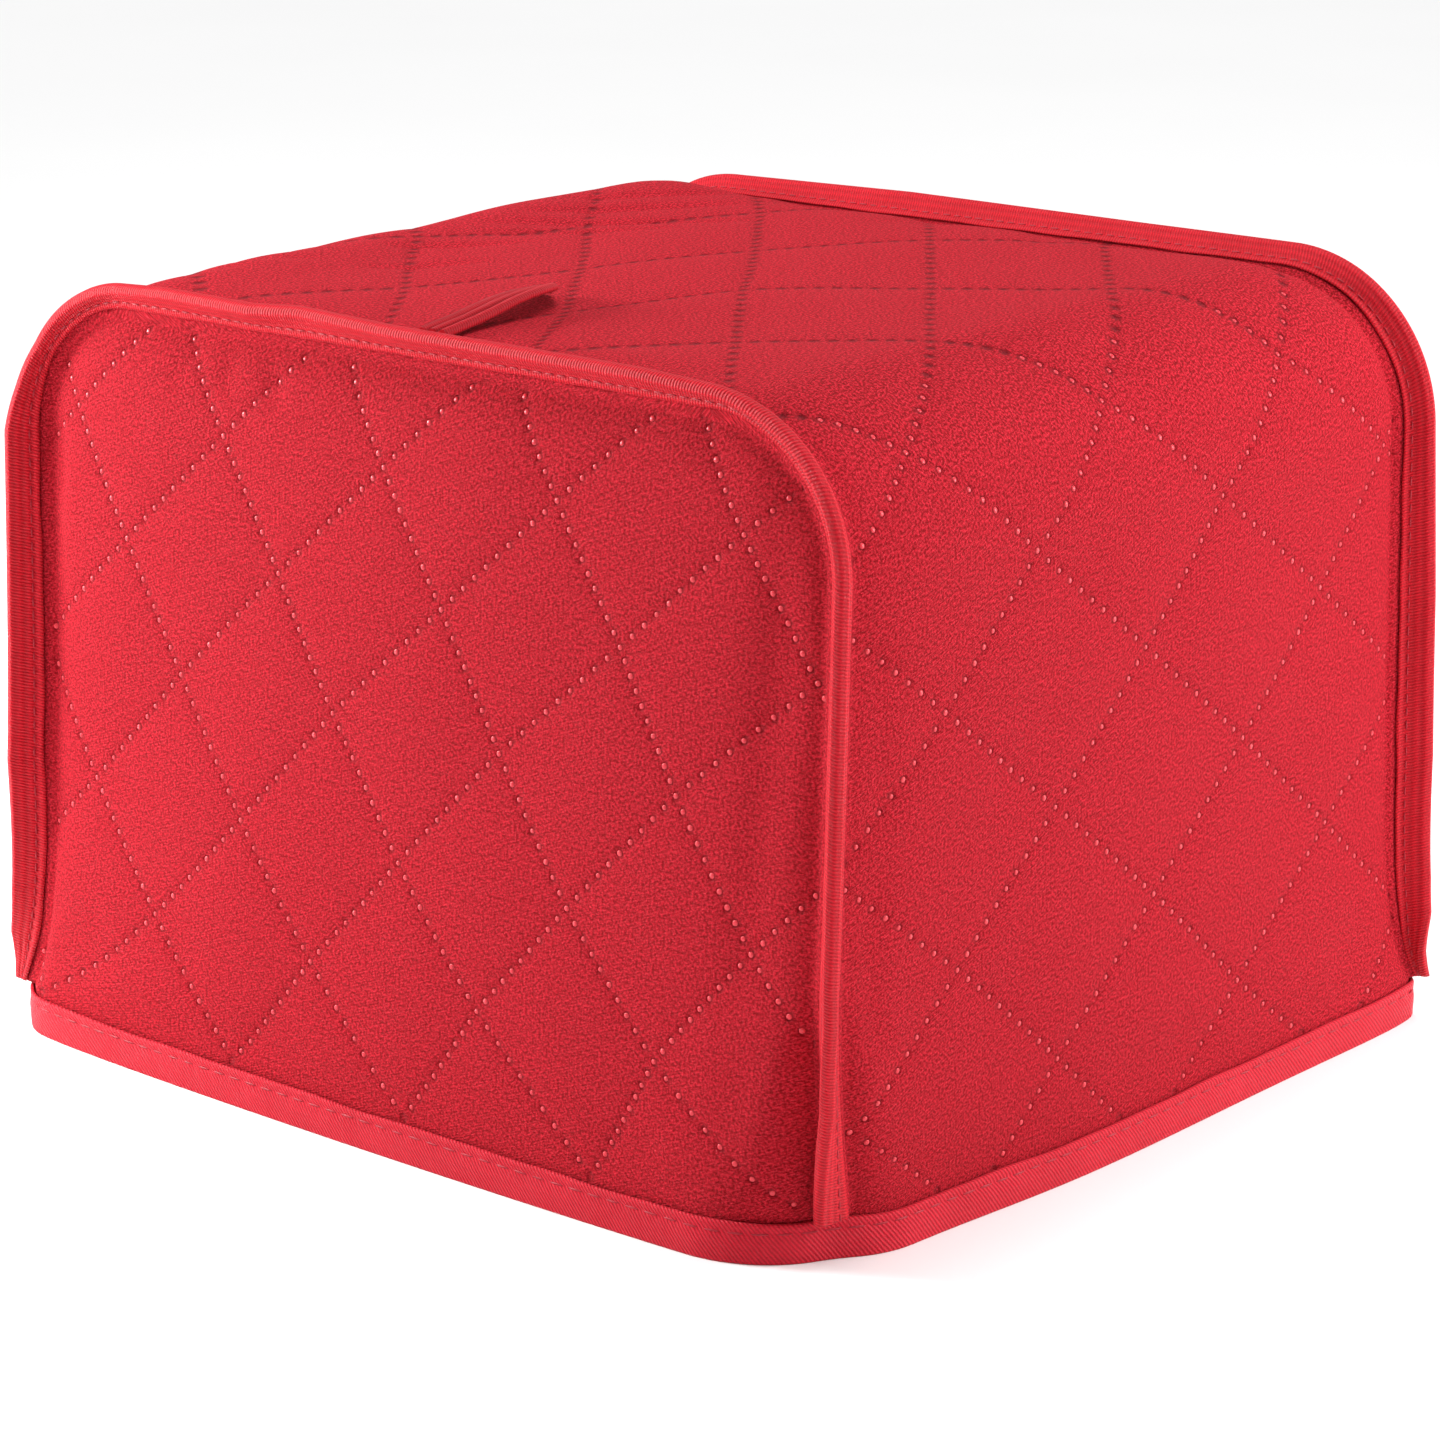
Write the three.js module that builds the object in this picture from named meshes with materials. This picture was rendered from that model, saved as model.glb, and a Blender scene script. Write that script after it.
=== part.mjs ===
import * as THREE from 'three';

// Quilted toaster cover standing open on its hem, in millimetres, +Z up, origin under its middle.
// Two end panels at -Y (near) and +Y (far) are joined by one strip that runs up the front (+X),
// over the top and down the back (-X). Both seams stand outside as fins, bound in woven tape.

// Driving sizes

const seamLine = { halfWidth: 143.5, halfDepth: 123.5, top: 218.6, bend: 40 };
const spreadAtHem = { width: -1.2, near: 5.2, far: 8.5 };
const cloth = { thick: 2, inFin: 0.95, gap: 0.36, puff: 1.1, puffRunIn: 12 };
const belly = { panel: 3, panelMiddle: 2.6, start: 4.5, runIn: 8 };

// Swelling of the strip along its length: out next to the seams, more out half way between, and
// farRise more where the back shoulder nears the far seam

const stripBelly = [
  { along: 0, out: 1.2, middle: 3.2, farRise: 0 }, { along: 120, out: 2.2, middle: 2.2, farRise: 0 },
  { along: 178, out: 2.6, middle: 1.4, farRise: 0 }, { along: 241, out: 3.6, middle: 0.6, farRise: 0 },
  { along: 400, out: 3.9, middle: 0.8, farRise: 0 }, { along: 430, out: 4, middle: 0.8, farRise: 1.2 },
  { along: 465, out: 5.7, middle: 1.1, farRise: 4.2 }, { along: 480, out: 6.4, middle: 1.2, farRise: 3.6 },
  { along: 540, out: 3.4, middle: 1.6, farRise: 0.4 }, { along: 690, out: 1.8, middle: 2, farRise: 0 },
];
const riseToFar = 0.012;

// Pushes that the cloth has taken near its hem corners, fading up the body and along the sides

const pushes = [
  { x: -146, y: -126, dx: -21, dy: 1, reach: 42, height: 30 },
  { x: 144, y: 130, dx: 3, dy: 13.7, reach: 50, height: 22 },
  { x: 140, y: -92, dx: -4.2, dy: 0.6, reach: 50, height: 40 },
];
const fin = { length: 10.4, rampLength: 5, bendAt: 2.6, fold: 3.6 };
const tape = { thick: 0.9, clear: 0.45, start: 3.3, crest: 11.8 };
const hem = { height: 11, inside: 10, floor: 1.2, wall: 1, straight: 12 };

// Corners of the body in plan: how round they stand at the hem, and the share of the quarter
// turn that the end panel takes. The rounding fades to a plain seam at fadeHeight.

const cornerAtHem = {
  nearFront: { radius: 40, panelShare: 57 },
  nearBack: { radius: 14, panelShare: 55 },
  farFront: { radius: 7, panelShare: 45 },
  farBack: { radius: 12, panelShare: 45 },
};
const seamRadius = 3;
const fadeTop = 83;
const shiftReach = 110;

// How each fin leans away from the line that halves the corner, in degrees, plus towards the
// end panel, and reach, the share of the cloth's full depth between the tape's edge and its tip to which
// it stands out, at places up the front leg, along the top and down the back leg.

const nearFin = [
  { along: 0, lean: 72, reach: 1 }, { along: 14, lean: 66, reach: 1 }, { along: 27, lean: 48, reach: 1 },
  { along: 46, lean: 22, reach: 1 }, { along: 70, lean: 7, reach: 1 }, { along: 178.6, lean: 8, reach: 0.89 },
  { along: 200, lean: 2, reach: 0.94 }, { along: 217, lean: 0, reach: 0.61 }, { along: 227, lean: 0, reach: 0.51 },
  { along: 242, lean: 0, reach: 0.67 }, { along: 262, lean: 0, reach: 0.89 }, { along: 345, lean: 3, reach: 0.95 },
  { along: 379, lean: -7, reach: 0.95 }, { along: 397, lean: 7, reach: 1 }, { along: 431, lean: 0, reach: 0.89 },
  { along: 448, lean: 0, reach: 0.67 }, { along: 464, lean: 0, reach: 0.51 }, { along: 487, lean: 0, reach: 0.48 },
  { along: 500, lean: 0, reach: 0.69 }, { along: 511.3, lean: 0, reach: 1 }, { along: 607, lean: -3, reach: 1.15 },
  { along: 648, lean: -12, reach: 1.12 }, { along: 662, lean: -22, reach: 1.04 },
  { along: 671, lean: -32, reach: 0.62 }, { along: 678, lean: -37, reach: 0.34 },
  { along: 690, lean: -40, reach: 0.24 },
];
const farFin = [
  { along: 0, lean: -48, reach: 0.2 }, { along: 12, lean: -45, reach: 0.26 }, { along: 21, lean: -36, reach: 0.5 },
  { along: 33, lean: -16, reach: 1 }, { along: 45, lean: -6, reach: 1.12 }, { along: 83, lean: -4, reach: 1.18 },
  { along: 130, lean: -8, reach: 1.12 }, { along: 178.6, lean: -14, reach: 0.91 },
  { along: 241, lean: -2, reach: 0.88 }, { along: 293, lean: 5, reach: 1 }, { along: 380, lean: -3, reach: 1 },
  { along: 446, lean: 2, reach: 0.85 }, { along: 480, lean: 2, reach: 0.77 }, { along: 511.3, lean: 2, reach: 1 },
  { along: 656, lean: 4, reach: 1 }, { along: 678, lean: 36, reach: 1 }, { along: 690, lean: 50, reach: 1 },
];

// Quilting: the rows in which the diamonds' corners lie. up is the row's place along the sheet,
// slant its rise for each millimetre across, shift the place of the middle corner, pitch the
// width of one diamond.

const panelRows = [
  { row: 6, up: -23, slant: 0, shift: -101, pitch: 68 },
  { row: 5, up: 12.6, slant: 0, shift: -98, pitch: 67 },
  { row: 4, up: 48.5, slant: 0, shift: -94.8, pitch: 62 },
  { row: 3, up: 83, slant: 0, shift: -89.5, pitch: 60 },
  { row: 2, up: 119.5, slant: 0, shift: -83.5, pitch: 60 },
  { row: 1, up: 154.5, slant: 0, shift: -74, pitch: 60.5 },
  { row: 0, up: 188.8, slant: 0, shift: -65, pitch: 60.5 },
  { row: -1, up: 223, slant: 0, shift: -56, pitch: 60.5 },
];
const stripRows = [
  { row: 6, up: 1, slant: 0, shift: 5, pitch: 85 },
  { row: 5, up: 36, slant: 0, shift: 4.5, pitch: 85 },
  { row: 4, up: 71.5, slant: 0, shift: 4.5, pitch: 85 },
  { row: 3, up: 106, slant: 0, shift: 2, pitch: 86 },
  { row: 2, up: 141, slant: 0, shift: -3, pitch: 85 },
  { row: 1, up: 175.5, slant: 0, shift: -10, pitch: 83 },
  { row: 0, up: 206, slant: 0, shift: -11, pitch: 81 },
  { row: -1, up: 241.9, slant: 0.06, shift: 1, pitch: 87 },
  { row: -2, up: 283, slant: 0.08, shift: 16.3, pitch: 91 },
  { row: -3, up: 323.6, slant: 0.09, shift: 29, pitch: 94 },
  { row: -4, up: 352.9, slant: 0.2, shift: 31.4, pitch: 103 },
  { row: -5, up: 381.4, slant: 0.23, shift: 30, pitch: 108 },
  { row: -6, up: 414.6, slant: 0.25, shift: 29.7, pitch: 102 },
  { row: -7, up: 449, slant: 0.16, shift: 34, pitch: 100 },
  { row: -8, up: 486, slant: 0.07, shift: 24, pitch: 96 },
  { row: -9, up: 520, slant: 0, shift: 16, pitch: 90 },
  { row: -10, up: 555, slant: 0, shift: 10, pitch: 86 },
  { row: -11, up: 590, slant: 0, shift: 6, pitch: 85 },
  { row: -12, up: 625, slant: 0, shift: 4, pitch: 85 },
  { row: -13, up: 660, slant: 0, shift: 4, pitch: 85 },
  { row: -14, up: 695, slant: 0, shift: 4, pitch: 85 },
];

// Handle strap on the top: its course from the far foot to the near foot, its width, and how
// high the undersides of its left and right edges stand clear of the top.

const strapThick = 2.4;
const strapCourse = [
  { x: -12, y: -60, width: 6, left: 0.3, right: 0.3 },
  { x: -9, y: -65, width: 9.5, left: 0.4, right: 1.6 },
  { x: -5.8, y: -72, width: 13, left: 0.7, right: 2.9 },
  { x: -3.8, y: -80, width: 14, left: 0.9, right: 3.2 },
  { x: -2.4, y: -88, width: 13.5, left: 0.8, right: 2.6 },
  { x: -1.2, y: -96, width: 13, left: 0.5, right: 1.4 },
  { x: -0.2, y: -104, width: 12.5, left: 0.3, right: 0.6 },
  { x: 0.8, y: -112, width: 12.5, left: 0.3, right: 0.3 },
];

// Small helpers

const degrees = Math.PI / 180;
const vec = (x, y, z) => new THREE.Vector3(x, y, z);

function between(table, key, at, field) {
  const up = table[table.length - 1][key] > table[0][key];
  const last = table.length - 2;
  let index = 0;
  while (index < last && (up ? at > table[index + 1][key] : at < table[index + 1][key])) {
    index += 1;
  }
  const low = table[index];
  const high = table[index + 1];
  const share = (at - low[key]) / (high[key] - low[key]);
  return low[field] + (high[field] - low[field]) * share;
}

function eased(table, at, field) {
  const first = table[0].along;
  const last = table[table.length - 1].along;
  return between(table, 'along', Math.min(Math.max(at, first), last), field);
}

// The arch of the seam line, by the length along it from the front hem

const shoulder = seamLine.top - seamLine.bend;
const bendLength = seamLine.bend * Math.PI / 2;
const flatHalf = seamLine.halfWidth - seamLine.bend;
const archLength = 2 * shoulder + 2 * bendLength + 2 * flatHalf;

function legHalfWidth(z) {
  return seamLine.halfWidth + spreadAtHem.width * Math.max(0, 1 - z / shoulder);
}

function halfDepthAt(end, z) {
  const spread = end < 0 ? spreadAtHem.near : spreadAtHem.far;
  return seamLine.halfDepth + spread * (1 - z / seamLine.top);
}

function archAt(along) {
  const back = along > archLength / 2;
  const run = back ? archLength - along : along;
  const side = back ? -1 : 1;
  if (run < shoulder) {
    const level = Math.max(run, hem.straight);
    return { x: side * legHalfWidth(level), z: run, outX: side, outZ: 0 };
  }
  if (run < shoulder + bendLength) {
    const turn = (run - shoulder) / seamLine.bend;
    const outX = side * Math.cos(turn);
    const outZ = Math.sin(turn);
    return { x: side * flatHalf + seamLine.bend * outX, z: shoulder + seamLine.bend * outZ, outX, outZ };
  }
  return { x: side * (flatHalf - (run - shoulder - bendLength)), z: seamLine.top, outX: 0, outZ: 1 };
}

// Rounding of the corner between an end panel and the strip

function cornerAt(z, nearSide, frontSide) {
  const name = (nearSide ? 'near' : 'far') + (frontSide ? 'Front' : 'Back');
  const corner = cornerAtHem[name];
  const up = (Math.max(z, hem.straight) - hem.straight) / (fadeTop - hem.straight);
  const fade = Math.max(0, 1 - up);
  return {
    radius: seamRadius + (corner.radius - seamRadius) * fade,
    panelShare: (45 + (corner.panelShare - 45) * fade) * degrees,
  };
}

function roundedEdge(fromSeam, radius, share) {
  const turned = Math.max(0, share - fromSeam / radius);
  const straight = Math.max(fromSeam - radius * share, 0);
  const inPlane = radius - radius * Math.sin(turned) + straight - fromSeam;
  const reach = Math.max(0, 1 - fromSeam / shiftReach);
  return { inPlane: inPlane * reach, inward: radius * (1 - Math.cos(turned)) };
}

function rise(fromSeam, height) {
  return height * (1 - Math.exp(-Math.max(0, fromSeam - belly.start) / belly.runIn));
}

// Surfaces of the outside: an end panel by x and z, and the strip by length along and y

function panelEdge(x, z) {
  const side = Math.sign(x) || 1;
  const overX = Math.abs(x) - flatHalf;
  const overZ = z - shoulder;
  if (overX > 0 && overZ > 0) {
    const reach = Math.hypot(overX, overZ) || 1;
    return { fromSeam: seamLine.bend - reach, outX: side * overX / reach, outZ: overZ / reach };
  }
  const toSide = legHalfWidth(Math.max(z, hem.straight)) - Math.abs(x);
  const toTop = seamLine.top - z;
  return toSide < toTop
    ? { fromSeam: toSide, outX: side, outZ: 0 }
    : { fromSeam: toTop, outX: 0, outZ: 1 };
}

function panelPoint(end, x, z, lift = 0) {
  const level = Math.max(z, hem.straight);
  const edge = panelEdge(x, level);
  const fromSeam = Math.max(0, edge.fromSeam);
  const corner = cornerAt(level, end < 0, x > 0);
  const rounded = roundedEdge(fromSeam, corner.radius, corner.panelShare);
  const middle = belly.panelMiddle * Math.max(0, 1 - (x / seamLine.halfWidth) ** 2);
  const swell = rise(fromSeam, belly.panel + middle) + lift * Math.min(1, fromSeam / cloth.puffRunIn);
  return vec(
    x - edge.outX * rounded.inPlane,
    end * (halfDepthAt(end, level) + swell - rounded.inward),
    z - edge.outZ * rounded.inPlane,
  );
}

function stripPoint(along, y, lift = 0) {
  const arch = archAt(along);
  const level = Math.max(arch.z, hem.straight);
  const side = Math.sign(y) || 1;
  const half = halfDepthAt(side, level);
  const fromSeam = Math.max(0, half - Math.abs(y));
  const corner = cornerAt(level, side < 0, arch.x > 0);
  const rounded = roundedEdge(fromSeam, corner.radius, Math.PI / 2 - corner.panelShare);
  const across = Math.min(1, Math.abs(y) / half);
  const farShare = (Math.max(0, y) / half) ** 1.5;
  const farRise = eased(stripBelly, along, 'farRise') * farShare;
  const height = eased(stripBelly, along, 'out') + farRise + riseToFar * y * arch.outZ;
  const middle = eased(stripBelly, along, 'middle') * (1 - across * across);
  const puff = lift * Math.min(1, fromSeam / cloth.puffRunIn);
  const out = rise(fromSeam, height) + middle + puff - rounded.inward;
  return vec(arch.x + arch.outX * out, y - side * rounded.inPlane, arch.z + arch.outZ * out);
}

function seamFrame(end, along) {
  const arch = archAt(along);
  const corner = cornerAt(arch.z, end < 0, arch.x > 0);
  const panelOut = vec(0, end, 0);
  const stripOut = vec(arch.outX, 0, arch.outZ);
  const cosine = Math.cos(corner.panelShare);
  const sine = Math.sin(corner.panelShare);
  return {
    root: stripPoint(along, end * halfDepthAt(end, Math.max(arch.z, hem.straight))),
    out: panelOut.clone().multiplyScalar(cosine).addScaledVector(stripOut, sine),
    toPanel: panelOut.clone().multiplyScalar(sine).addScaledVector(stripOut, -cosine),
  };
}

// Quilting puff over a sheet, and the places where its lines cross a row

function quiltRow(rows, up, across) {
  let row = between(rows, 'up', up, 'row');
  row = between(rows, 'up', up - between(rows, 'row', row, 'slant') * across, 'row');
  return row;
}

function quiltPuff(rows, up, across) {
  const row = quiltRow(rows, up, across);
  const column = 2 * (across - between(rows, 'row', row, 'shift')) / between(rows, 'row', row, 'pitch');
  const first = Math.abs(Math.sin(Math.PI * (row + column) / 2));
  const second = Math.abs(Math.sin(Math.PI * (row - column) / 2));
  return cloth.puff * Math.sqrt(first * second);
}

// Corners across a row of the mesh: one at each crossing of the quilting, and between them none
// further apart than widestSpan, in half pitches. Crossings nearer than narrowestSpan share one,
// and none lies nearer to the fold than foldMargin.

const widestSpan = 0.55;
const narrowestSpan = 0.12;
const foldMargin = 7;
const furthestLine = 8;

function rowStops(rows, up, low, high) {
  const row = quiltRow(rows, up, 0);
  const shift = between(rows, 'row', row, 'shift');
  const half = between(rows, 'row', row, 'pitch') / 2;
  const crossings = [];
  for (let turn = -furthestLine; turn <= furthestLine; turn += 1) {
    crossings.push(2 * turn - row, 2 * turn + row);
  }
  crossings.sort((a, b) => a - b);
  const columns = [crossings[0]];
  for (const crossing of crossings) {
    const before = columns[columns.length - 1];
    const span = crossing - before;
    if (span < narrowestSpan) continue;
    const parts = Math.ceil(span / widestSpan);
    for (let part = 1; part <= parts; part += 1) columns.push(before + span * part / parts);
  }
  const places = columns.map((column) => shift + column * half);
  return places.filter((at) => at > low + foldMargin && at < high - foldMargin);
}

// Mesh building

function closedGeometry(positions, triangles) {
  const geometry = new THREE.BufferGeometry();
  geometry.setAttribute('position', new THREE.Float32BufferAttribute(positions.flatMap((p) => [p.x, p.y, p.z]), 3));
  let volume = 0;
  for (const [a, b, c] of triangles) {
    volume += positions[a].dot(positions[b].clone().cross(positions[c])) / 6;
  }
  const turned = volume < 0 ? triangles.map(([a, b, c]) => [a, c, b]) : triangles;
  geometry.setIndex(turned.flat());
  return geometry;
}

// A cloth piece from rows of nodes, each with an outside and an inside point. Neighbouring rows
// are zipped together in step with their places across.

class ClothMesh {
  constructor() {
    this.positions = [];
    this.triangles = [];
  }

  keep(point) {
    return this.positions.push(point) - 1;
  }

  node(across, outside, inside) {
    return { across, outside: this.keep(outside), inside: inside ? this.keep(inside) : -1 };
  }

  layers(a, b, c) {
    this.triangles.push([a.outside, b.outside, c.outside], [a.inside, c.inside, b.inside]);
  }

  zip(lower, upper) {
    let a = 0;
    let b = 0;
    while (a < lower.length - 1 || b < upper.length - 1) {
      const costA = a < lower.length - 1 ? Math.abs(lower[a + 1].across - upper[b].across) : Infinity;
      const costB = b < upper.length - 1 ? Math.abs(upper[b + 1].across - lower[a].across) : Infinity;
      if (costA <= costB) {
        this.layers(lower[a], lower[a + 1], upper[b]);
        a += 1;
      } else {
        this.layers(lower[a], upper[b + 1], upper[b]);
        b += 1;
      }
    }
  }

  // Chains of points side by side, each chain running outwards to the right of the walk. Both
  // layers of a fin split their faces alike, from low at the front to high at the back.
  walk(chains, fromBack = false) {
    for (let step = 0; step < chains.length - 1; step += 1) {
      const here = chains[step];
      const next = chains[step + 1];
      for (let point = 0; point < here.length - 1; point += 1) {
        const inwards = here.length > 2 && point >= here.length / 2;
        const [a, b, c, d] = [here[point], here[point + 1], next[point], next[point + 1]];
        const split = inwards !== fromBack;
        this.triangles.push(...(split ? [[a, b, c], [b, d, c]] : [[a, b, d], [a, d, c]]));
      }
    }
  }

  // Closed end of a turned-up edge, where the hem tape begins
  foot(chain, first) {
    const [fold, bend, ramp, tip, tipIn, rampIn, seam] = chain;
    const faces = [
      [seam, rampIn, bend], [seam, bend, fold], [rampIn, ramp, bend], [rampIn, tipIn, ramp],
      [tipIn, tip, ramp],
    ];
    this.triangles.push(...faces.map((face) => (first ? face : face.reverse())));
  }

  rim(nodes) {
    for (let index = 0; index < nodes.length - 1; index += 1) {
      const [here, next] = [nodes[index], nodes[index + 1]];
      this.triangles.push([next.outside, here.outside, here.inside], [next.outside, here.inside, next.inside]);
    }
  }

  geometry() {
    return closedGeometry(this.positions, this.triangles);
  }
}

// A tube of one flat outline carried through frames; each frame turns the outline's points

function loftGeometry(rings, outline, joined = false) {
  const size = outline.length;
  const positions = rings.flat();
  const triangles = [];
  const spans = joined ? rings.length : rings.length - 1;
  for (let ring = 0; ring < spans; ring += 1) {
    const here = ring * size;
    const next = ((ring + 1) % rings.length) * size;
    for (let point = 0; point < size; point += 1) {
      const after = (point + 1) % size;
      if (outline[after].x > outline[point].x) {
        triangles.push([here + point, here + after, next + after], [here + point, next + after, next + point]);
      } else {
        triangles.push([here + point, here + after, next + point], [next + point, here + after, next + after]);
      }
    }
  }
  if (!joined) {
    const last = (rings.length - 1) * size;
    const clockwise = THREE.ShapeUtils.isClockWise(outline);
    for (const cap of THREE.ShapeUtils.triangulateShape(outline, [])) {
      const [a, b, c] = clockwise ? cap.reverse() : cap;
      triangles.push([a, c, b], [last + a, last + b, last + c]);
    }
  }
  return closedGeometry(positions, triangles);
}

// Seam fins: the middle line of a fin leaves its root square and bends to its lean

const halfGap = cloth.gap / 2;
const outerLayer = halfGap + cloth.inFin;

function finLine(lean, f) {
  const turn = lean * degrees;
  const rate = turn / fin.rampLength;
  const bent = Math.min(f, fin.rampLength);
  const small = Math.abs(rate) < 1e-4;
  const rest = Math.max(0, f - fin.rampLength);
  const angle = rate * bent;
  return {
    out: (small ? bent : Math.sin(angle) / rate) + rest * Math.cos(turn),
    toPanel: (small ? 0 : (1 - Math.cos(angle)) / rate) + rest * Math.sin(turn),
    angle,
  };
}

function finPoint(frame, stand, f, q) {
  const inCloth = Math.min(Math.max(f, tape.start), fin.length) - tape.start;
  const height = f - inCloth * (1 - stand.reach);
  const line = finLine(stand.lean, height);
  const out = line.out - q * Math.sin(line.angle);
  const toPanel = line.toPanel + q * Math.cos(line.angle);
  return frame.root.clone().addScaledVector(frame.out, out).addScaledVector(frame.toPanel, toPanel);
}

function standAt(end, along) {
  const table = end < 0 ? nearFin : farFin;
  return { lean: eased(table, along, 'lean'), reach: eased(table, along, 'reach') };
}

// The cloth's edge turned up into a fin: side is 1 for an end panel and -1 for the strip

function turnedEdge(mesh, end, along, side) {
  const frame = seamFrame(end, along);
  const stand = standAt(end, along);
  const at = (f, q) => finPoint(frame, stand, f, q * side);
  const seam = at(0, halfGap);
  return {
    seam: mesh.node(0, seam, seam.clone().addScaledVector(frame.out, -cloth.thick)),
    bend: mesh.node(0, at(fin.bendAt, outerLayer)),
    ramp: mesh.node(0, at(fin.rampLength, outerLayer), at(fin.rampLength, halfGap)),
    tip: mesh.node(0, at(fin.length, outerLayer), at(fin.length, halfGap)),
  };
}

function seamNode(mesh, end, along, side, across) {
  const frame = seamFrame(end, along);
  const seam = finPoint(frame, { lean: 0, reach: 1 }, 0, halfGap * side);
  return mesh.node(across, seam, seam.clone().addScaledVector(frame.out, -cloth.thick));
}

function edgeChain(fold, { seam, bend, ramp, tip }) {
  return [
    fold.outside, bend.outside, ramp.outside, tip.outside, tip.inside, ramp.inside,
    seam.outside, seam.inside, fold.inside,
  ];
}

// Cloth sheets

const hemStops = [fin.fold, 8, 14, 21, 30, 50, 80, 110];
const bendSteps = 5;
const flatSteps = 12;
const lowLevels = [hem.straight, 19, 27, 36, 48.5, 60, 71.5, fadeTop];
const panelLevels = [...lowLevels, 101, 119.5, 137, 154.5];
const stripLevels = [...lowLevels, 106, 123.5, 141, 158.5];
const bindingLevels = [...lowLevels, 130];

function acrossStops(low, high) {
  const left = hemStops.map((stop) => low + stop);
  const right = hemStops.map((stop) => high - stop);
  return [...left, 0, ...right.reverse()];
}

function surfaceNormal(place, a, b) {
  const step = 0.5;
  const towardsA = a > 0 ? -step : step;
  const here = place(a, b);
  const sideways = place(a + towardsA, b).sub(here).multiplyScalar(Math.sign(towardsA));
  const upwards = place(a, b + step).sub(place(a, b - step));
  return sideways.cross(upwards).normalize();
}

function sheetNode(mesh, place, normalTurn, a, b, lift = 0) {
  const normal = surfaceNormal(place, a, b).multiplyScalar(normalTurn);
  return mesh.node(a, place(a, b, lift), place(a, b).addScaledVector(normal, -cloth.thick));
}

function crownStations() {
  const stations = [];
  for (let step = 0; step <= flatSteps; step += 1) {
    stations.push(shoulder + bendLength + 2 * flatHalf * step / flatSteps);
  }
  return stations;
}

function bendStation(step) {
  return shoulder + bendLength * step / bendSteps;
}

function panelSheet(end) {
  const mesh = new ClothMesh();
  const place = (x, z, lift) => panelPoint(end, x, z, lift);
  const bottom = hem.floor + cloth.gap;
  const edges = [];

  // Rows up the panel: a level, the half width of the fold line there and its place on the arch
  const levels = panelLevels.map((z) => ({ z, half: legHalfWidth(z) - fin.fold, along: z }));
  for (let step = 0; step < bendSteps - 1; step += 1) {
    const turn = step * Math.PI / 2 / bendSteps;
    const radius = seamLine.bend - fin.fold;
    levels.push({
      z: shoulder + radius * Math.sin(turn),
      half: flatHalf + radius * Math.cos(turn),
      along: bendStation(step),
    });
  }
  const rows = levels.map(({ z, half }) => {
    const atHem = z === hem.straight;
    const inner = atHem ? acrossStops(-half - fin.fold, half + fin.fold).slice(1, -1) : rowStops(panelRows, z, -half, half);
    const stops = [-half, ...inner, half];
    return stops.map((x, index) => {
      const onFold = index === 0 || index === stops.length - 1;
      return sheetNode(mesh, place, -end, x, z, atHem || onFold ? 0 : quiltPuff(panelRows, z, x));
    });
  });

  // The top row follows the arch of the fold line from one shoulder to the other
  const last = bendStation(bendSteps - 1);
  const crown = [last, ...crownStations(), archLength - last];
  const top = crown.map((along) => {
    const arch = archAt(along);
    return sheetNode(mesh, place, -end, arch.x - arch.outX * fin.fold, arch.z - arch.outZ * fin.fold);
  });
  rows.push(top.slice().reverse());
  for (let index = 0; index < rows.length - 1; index += 1) mesh.zip(rows[index], rows[index + 1]);

  // Turned-up edge round the arch
  levels.forEach(({ along }, index) => {
    const row = rows[index];
    edges.push({ fold: row[row.length - 1], edge: turnedEdge(mesh, end, along, 1) });
  });
  crown.forEach((along, index) => edges.push({ fold: top[index], edge: turnedEdge(mesh, end, along, 1) }));
  levels.slice().reverse().forEach(({ along }, index) => {
    const row = rows[levels.length - 1 - index];
    edges.push({ fold: row[0], edge: turnedEdge(mesh, end, archLength - along, 1) });
  });
  const chains = edges.map(({ fold, edge }) => edgeChain(fold, edge));
  mesh.walk(chains);
  mesh.foot(chains[0], true);
  mesh.foot(chains[chains.length - 1], false);

  // Straight band inside the hem tape
  const half = legHalfWidth(hem.straight);
  const lowest = acrossStops(-half, half).map((x) => sheetNode(mesh, place, -end, x, bottom));
  const right = seamNode(mesh, end, bottom, 1, half);
  const left = seamNode(mesh, end, archLength - bottom, 1, -half);
  const upperRight = { ...edges[0].edge.seam, across: half };
  const upperLeft = { ...edges[edges.length - 1].edge.seam, across: -half };
  const hemRow = [left, ...lowest, right];
  mesh.zip(hemRow, [upperLeft, ...rows[0], upperRight]);
  mesh.walk([[right.outside, right.inside], [upperRight.outside, upperRight.inside]]);
  mesh.walk([[upperLeft.outside, upperLeft.inside], [left.outside, left.inside]]);
  mesh.rim(hemRow);
  return mesh.geometry();
}

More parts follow.
